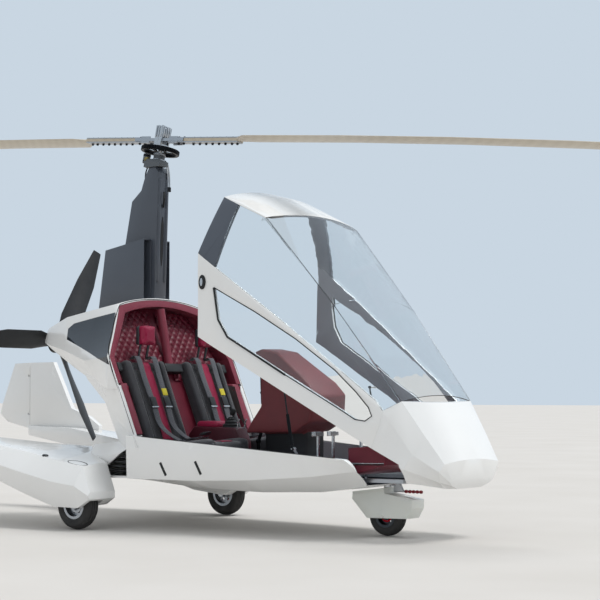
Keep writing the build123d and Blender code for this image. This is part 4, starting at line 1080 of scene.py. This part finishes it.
def tyre_steps(outer, half, seat):
    """Radius and width round a grooved tyre, back to its first point."""
    wall = outer - seat
    shoulder = half * 0.74
    steps = [(seat, -half * 0.70), (seat + wall * 0.12, -half * 0.84),
             (seat + wall * 0.45, -half * 0.995), (seat + wall * 0.68, -half * 0.95),
             (outer - wall * 0.17, -shoulder)]
    groove, deep = half * 0.05, wall * 0.07
    for y in (-half * 0.5, -half * 0.18, half * 0.18, half * 0.5):
        crown = outer - wall * 0.16 * (y / shoulder) ** 2 - 0.0003
        steps += [(crown, y - groove * 1.3), (crown - deep, y - groove),
                  (crown - deep, y + groove), (crown, y + groove * 1.3)]
    other = [(r, -y) for r, y in steps[:5]][::-1]
    return [*steps, *other, steps[0]]


def dress_wheel(x, y, radius, half, label, body, cap_finish, out):
    """A grooved tyre, bolts on the rim, and a cap on the wheel's outer side."""
    tyre_node, rim_node = label.format("tyre"), label.format("rim")
    seat = radius * SEAT_SHARE
    hub = at((x, y, radius))
    tyre = turned(tyre_steps(radius, half, seat), hub @ spin(-90, "X"), 64, ring=True)
    soften(tyre, 0.0012, 2, 35)
    settle(tyre, f"grooved_{tyre_node}", tyre_rubber, body=body)
    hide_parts(tyre_node)
    bits = []
    for index in range(RIM_BOLTS):
        angle = math.radians(360 / RIM_BOLTS * index + 30)
        across, up = math.cos(angle) * seat * 0.50, math.sin(angle) * seat * 0.50
        place = hub @ at((across, out * 0.0085, up)) @ spin(-90 * out, "X")
        bits.append(hexagon(place, 0.0055, 0.007))
    bits.append(block_at(hub @ at((seat * 0.72, out * 0.018, 0)), (0.006, 0.022, 0.006)))
    group(bits, f"bolts_{rim_node}", steel, body=body)
    cap_place = hub @ at((0, out * half * 0.30, 0)) @ spin(-90 * out, "X")
    settle(band(seat * 0.42, seat * 0.60, 0, 0.004, cap_place, 40), f"hub_band_{rim_node}",
           cap_finish, body=body)


red_band = metal("red_anodised_band", "#B01E2C", "#8A1420", 0.4)
for side, word in SIDES:
    dress_wheel(-0.029, side * 0.814, 0.165, 0.054, "main_{}_" + word, f"main_wheel_{word}",
                alloy if side < 0 else red_band, side)
dress_wheel(1.971, 0, 0.131, 0.046, "nose_{}", "nose_wheel", red_band, -1)
print("wheels dressed")

# %% [markdown]
# ## Cockpit fittings
# The instrument panel carries two blank displays, four blank dials, a row of knobs and two
# rows of switches. Its plane leans with the dash, so every fitting is drawn flat and then laid
# on that plane.

# %% Instrument panel
PANEL_TOP = Vector((1.0065, 0, 1.128))
PANEL_DOWN = (Vector((1.062, 0, 0.840)) - Vector((1.016, 0, 1.130))).normalized()
PANEL_OUT = Vector((PANEL_DOWN.z, 0, -PANEL_DOWN.x))
PANEL_ROWS = Matrix((Vector((0, 1, 0)), -PANEL_DOWN, PANEL_OUT)).transposed().to_4x4()
DIAL_DOWN = 0.160
glass_face = moulded("dark_display_glass", "#0B0E12", "#10151B", 0.12)
dial_face = moulded("black_dial_face", "#131417", "#1A1C20", 0.45)


def on_panel(across, down, out=0.0):
    """The panel's frame at a place across and down its face."""
    return at(PANEL_TOP + PANEL_DOWN * down + Vector((0, across, 0)) + PANEL_OUT * out) @ PANEL_ROWS


bezels, screens, faces, knobs, bright = [], [], [], [], []
for across in (-0.058, 0.058):
    bezels.append(block_at(on_panel(across, 0.068, 0.004), (0.106, 0.084, 0.016), 0.004))
    screens.append(block_at(on_panel(across, 0.066, 0.0125), (0.092, 0.066, 0.003), 0.001))
    for key in range(5):
        place = on_panel(across - 0.034 + key * 0.017, 0.1055, 0.0125)
        knobs.append(block_at(place, (0.010, 0.004, 0.003), 0.001))
for across in (-0.099, -0.033, 0.033, 0.099):
    dial = on_panel(across, DIAL_DOWN)
    bezels.append(turned([(0.0245, 0), (0.0295, 0), (0.0295, 0.009), (0.027, 0.011),
                          (0.0245, 0.009), (0.0245, 0)], dial, 32, ring=True))
    faces.append(turned([(0.002, 0), (0.0245, 0), (0.0245, 0.004), (0.002, 0.0045)], dial, 32))
    hand = on_panel(across, DIAL_DOWN, 0.0052) @ Matrix.Rotation(across * 9, 4, "Z")
    bright.append(block_at(hand @ at((0, 0.008, 0)), (0.0016, 0.018, 0.001), 0.0003))
for across in (-0.132, 0.132):
    for down in (0.195, 0.235):
        knobs.append(turned([(0.0095, 0), (0.0095, 0.010), (0.008, 0.013), (0.003, 0.0135)],
                            on_panel(across, down), 20))
for index in range(8):
    across = -0.098 + index * 0.028
    bright.append(turned([(0.006, 0), (0.006, 0.003), (0.0025, 0.004), (0.003, 0.014),
                          (0.002, 0.015)], on_panel(across, 0.212), 16))
    knobs.append(block_at(on_panel(across, 0.247, 0.002), (0.020, 0.020, 0.004)))
for name, pieces, slot, finish in (("bezels", bezels, "dark_steel", black_plastic),
                                   ("screens", screens, "display_glass", glass_face),
                                   ("faces", faces, "dark_steel", dial_face),
                                   ("knobs", knobs, "dark_steel", rubber),
                                   ("metal", bright, "plated_steel", steel)):
    group(pieces, f"panel_{name}", finish)
print("panel fitted")

# %% Stick grip, armrest and levers
STICK_LEAN = math.degrees(math.atan2(0.028, 0.155))
grip = turned([(0.006, -0.010), (0.016, -0.009), (0.0215, 0.004), (0.0225, 0.045),
               (0.020, 0.075), (0.0215, 0.105), (0.0235, 0.135), (0.022, 0.160),
               (0.014, 0.172), (0.005, 0.174)],
              at((0.980, 0, 0.790)) @ spin(STICK_LEAN, "Y"), 24)
settle(grip, "stick_grip", deep_leather, 60)
trim_hat = turned([(0.008, 0), (0.008, 0.012), (0.011, 0.014), (0.011, 0.020), (0.004, 0.022)],
                  at((0.990, 0, 0.930)) @ spin(-70, "Y"), 20)
settle(trim_hat, "stick_button", rubber)
boot = turned([(0.062, 0.690), (0.055, 0.702), (0.058, 0.708), (0.040, 0.722), (0.043, 0.728),
               (0.026, 0.744), (0.028, 0.750), (0.014, 0.764)], (0.66, 0, 0), 32)
settle(boot, "lever_boot", rubber)
tube("throttle_lever", [(0.66, 0, 0.70), (0.664, 0, 0.765), (0.676, 0, 0.790)], 0.008,
     steel, sides=12)
knob = turned([(0.004, -0.024), (0.016, -0.022), (0.019, -0.008), (0.019, 0.010),
               (0.014, 0.022), (0.004, 0.025)], at((0.679, 0, 0.797)) @ spin(30, "Y"), 24)
settle(knob, "throttle_knob", rubber)
rest = block_at((0.490, 0, 0.708), (0.190, 0.126, 0.052), 0.020)
settle(rest, "armrest_pad", bright_leather, 60)
for side, word in SIDES:
    y = side * 0.04
    tube(f"fuel_lever_{word}", [(0.745, y, 0.67), (0.757, y, 0.725), (0.768, y, 0.748)],
         0.0055, steel, sides=12)

# %% Pedal plates and foot box trims
PEDALS_Y = (-0.335, -0.165, 0.165, 0.335)
plates = []
for y in PEDALS_Y:
    plates.append(block_at((1.6355, y, 0.664), (0.006, 0.098, 0.030)))
    for shift in (-0.034, 0, 0.034):
        plates.append(block_at((1.6315, y + shift, 0.664), (0.003, 0.020, 0.022), 0.001))
group(plates, "pedal_plates", steel)
sleeves = [band(0.011, 0.017, -0.032, 0.032, at((1.650, y, 0.440)) @ spin(-90, "X"), 24)
           for y in PEDALS_Y]
group(sleeves, "pedal_sleeves", dark_steel)
for z, radius, slot, finish, name in ((0.485, 0.0028, "plated_steel", steel, "bright"),
                                      (0.476, 0.0035, "foam_leather", rubber, "dark")):
    for side, word in SIDES:
        tube(f"foot_strip_{name}_{word}", [(1.942, side * 0.4035, z), (2.140, side * 0.310, z)],
             radius, finish, smooth=False, sides=12)

# %% [markdown]
# ## Hull fittings
# Two slanted drain slots sit low on each side of the tub. Each pod has a filler cap and an
# oval hatch on top. Places are found by casting a ray on the finished shell.

# %% Slots, caps and hatches
def skin_place(piece, start, way):
    """The frame of a place on a shell, where a ray meets it; Z points out of the skin."""
    found, place, up, index = bpy.data.objects[piece].ray_cast(Vector(start), Vector(way))
    assert found, piece
    across = (Vector((1, 0, 0)) - up * up.x).normalized()
    return at(place) @ Matrix((across, up.cross(across), up)).transposed().to_4x4()


openings = []
for side in (-1, 1):
    for x, z in ((0.608, 0.422), (0.891, 0.436)):
        place = skin_place("soft_cockpit_tub", (x, side * 1.2, z), (0, -side, 0))
        openings.append(block_at(place @ spin(side * -27, "Z"), (0.019, 0.098, 0.004), 0.0018))
group(openings, "drain_slots", rubber)
caps, hatches = [], []
for side in (-1, 1):
    place = skin_place("soft_tail_booms", (-0.30, side * 0.86, 1.2), (0, 0, -1))
    caps.append(turned([(0.022, -0.004), (0.022, 0.005), (0.018, 0.009), (0.004, 0.010)],
                       place, 28))
    place = skin_place("soft_tail_booms", (-0.02, side * 0.83, 1.2), (0, 0, -1))
    oval = place @ Matrix.Diagonal((0.085, 0.045, 1, 1))
    hatches.append(turned([(0.92, -0.002), (0.92, 0.0012), (1.0, 0.0012), (1.0, -0.002),
                           (0.92, -0.002)], oval, 40, ring=True))
group(caps, "filler_caps", black_plastic)
group(hatches, "hatch_seams", rubber)
vents = []
for x, y in ((0.464, -0.10), (0.50, -0.06), (0.14, -0.10)):
    shell_name = "soft_cockpit_tub" if x > 0.3 else "soft_rear_deck"
    vents.append(turned([(0.014, -0.004), (0.014, 0.012), (0.009, 0.016), (0.009, 0.030),
                         (0.004, 0.032)], skin_place(shell_name, (x, y, 0.02), (0, 0, 1)), 24))
group(vents, "drain_fittings", black_plastic)
# Red beads on the pitot cover
beads = [turned([(0.004, -0.011), (0.0095, -0.009), (0.0115, 0), (0.0095, 0.009), (0.004, 0.011)],
                at((2.112 + index * 0.028, 0, 0.293)) @ spin(90, "Y"), 20) for index in range(5)]
cover = group(beads, "pitot_beads", red_cloth)
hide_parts("pitot_cover")
print("hull fittings made")
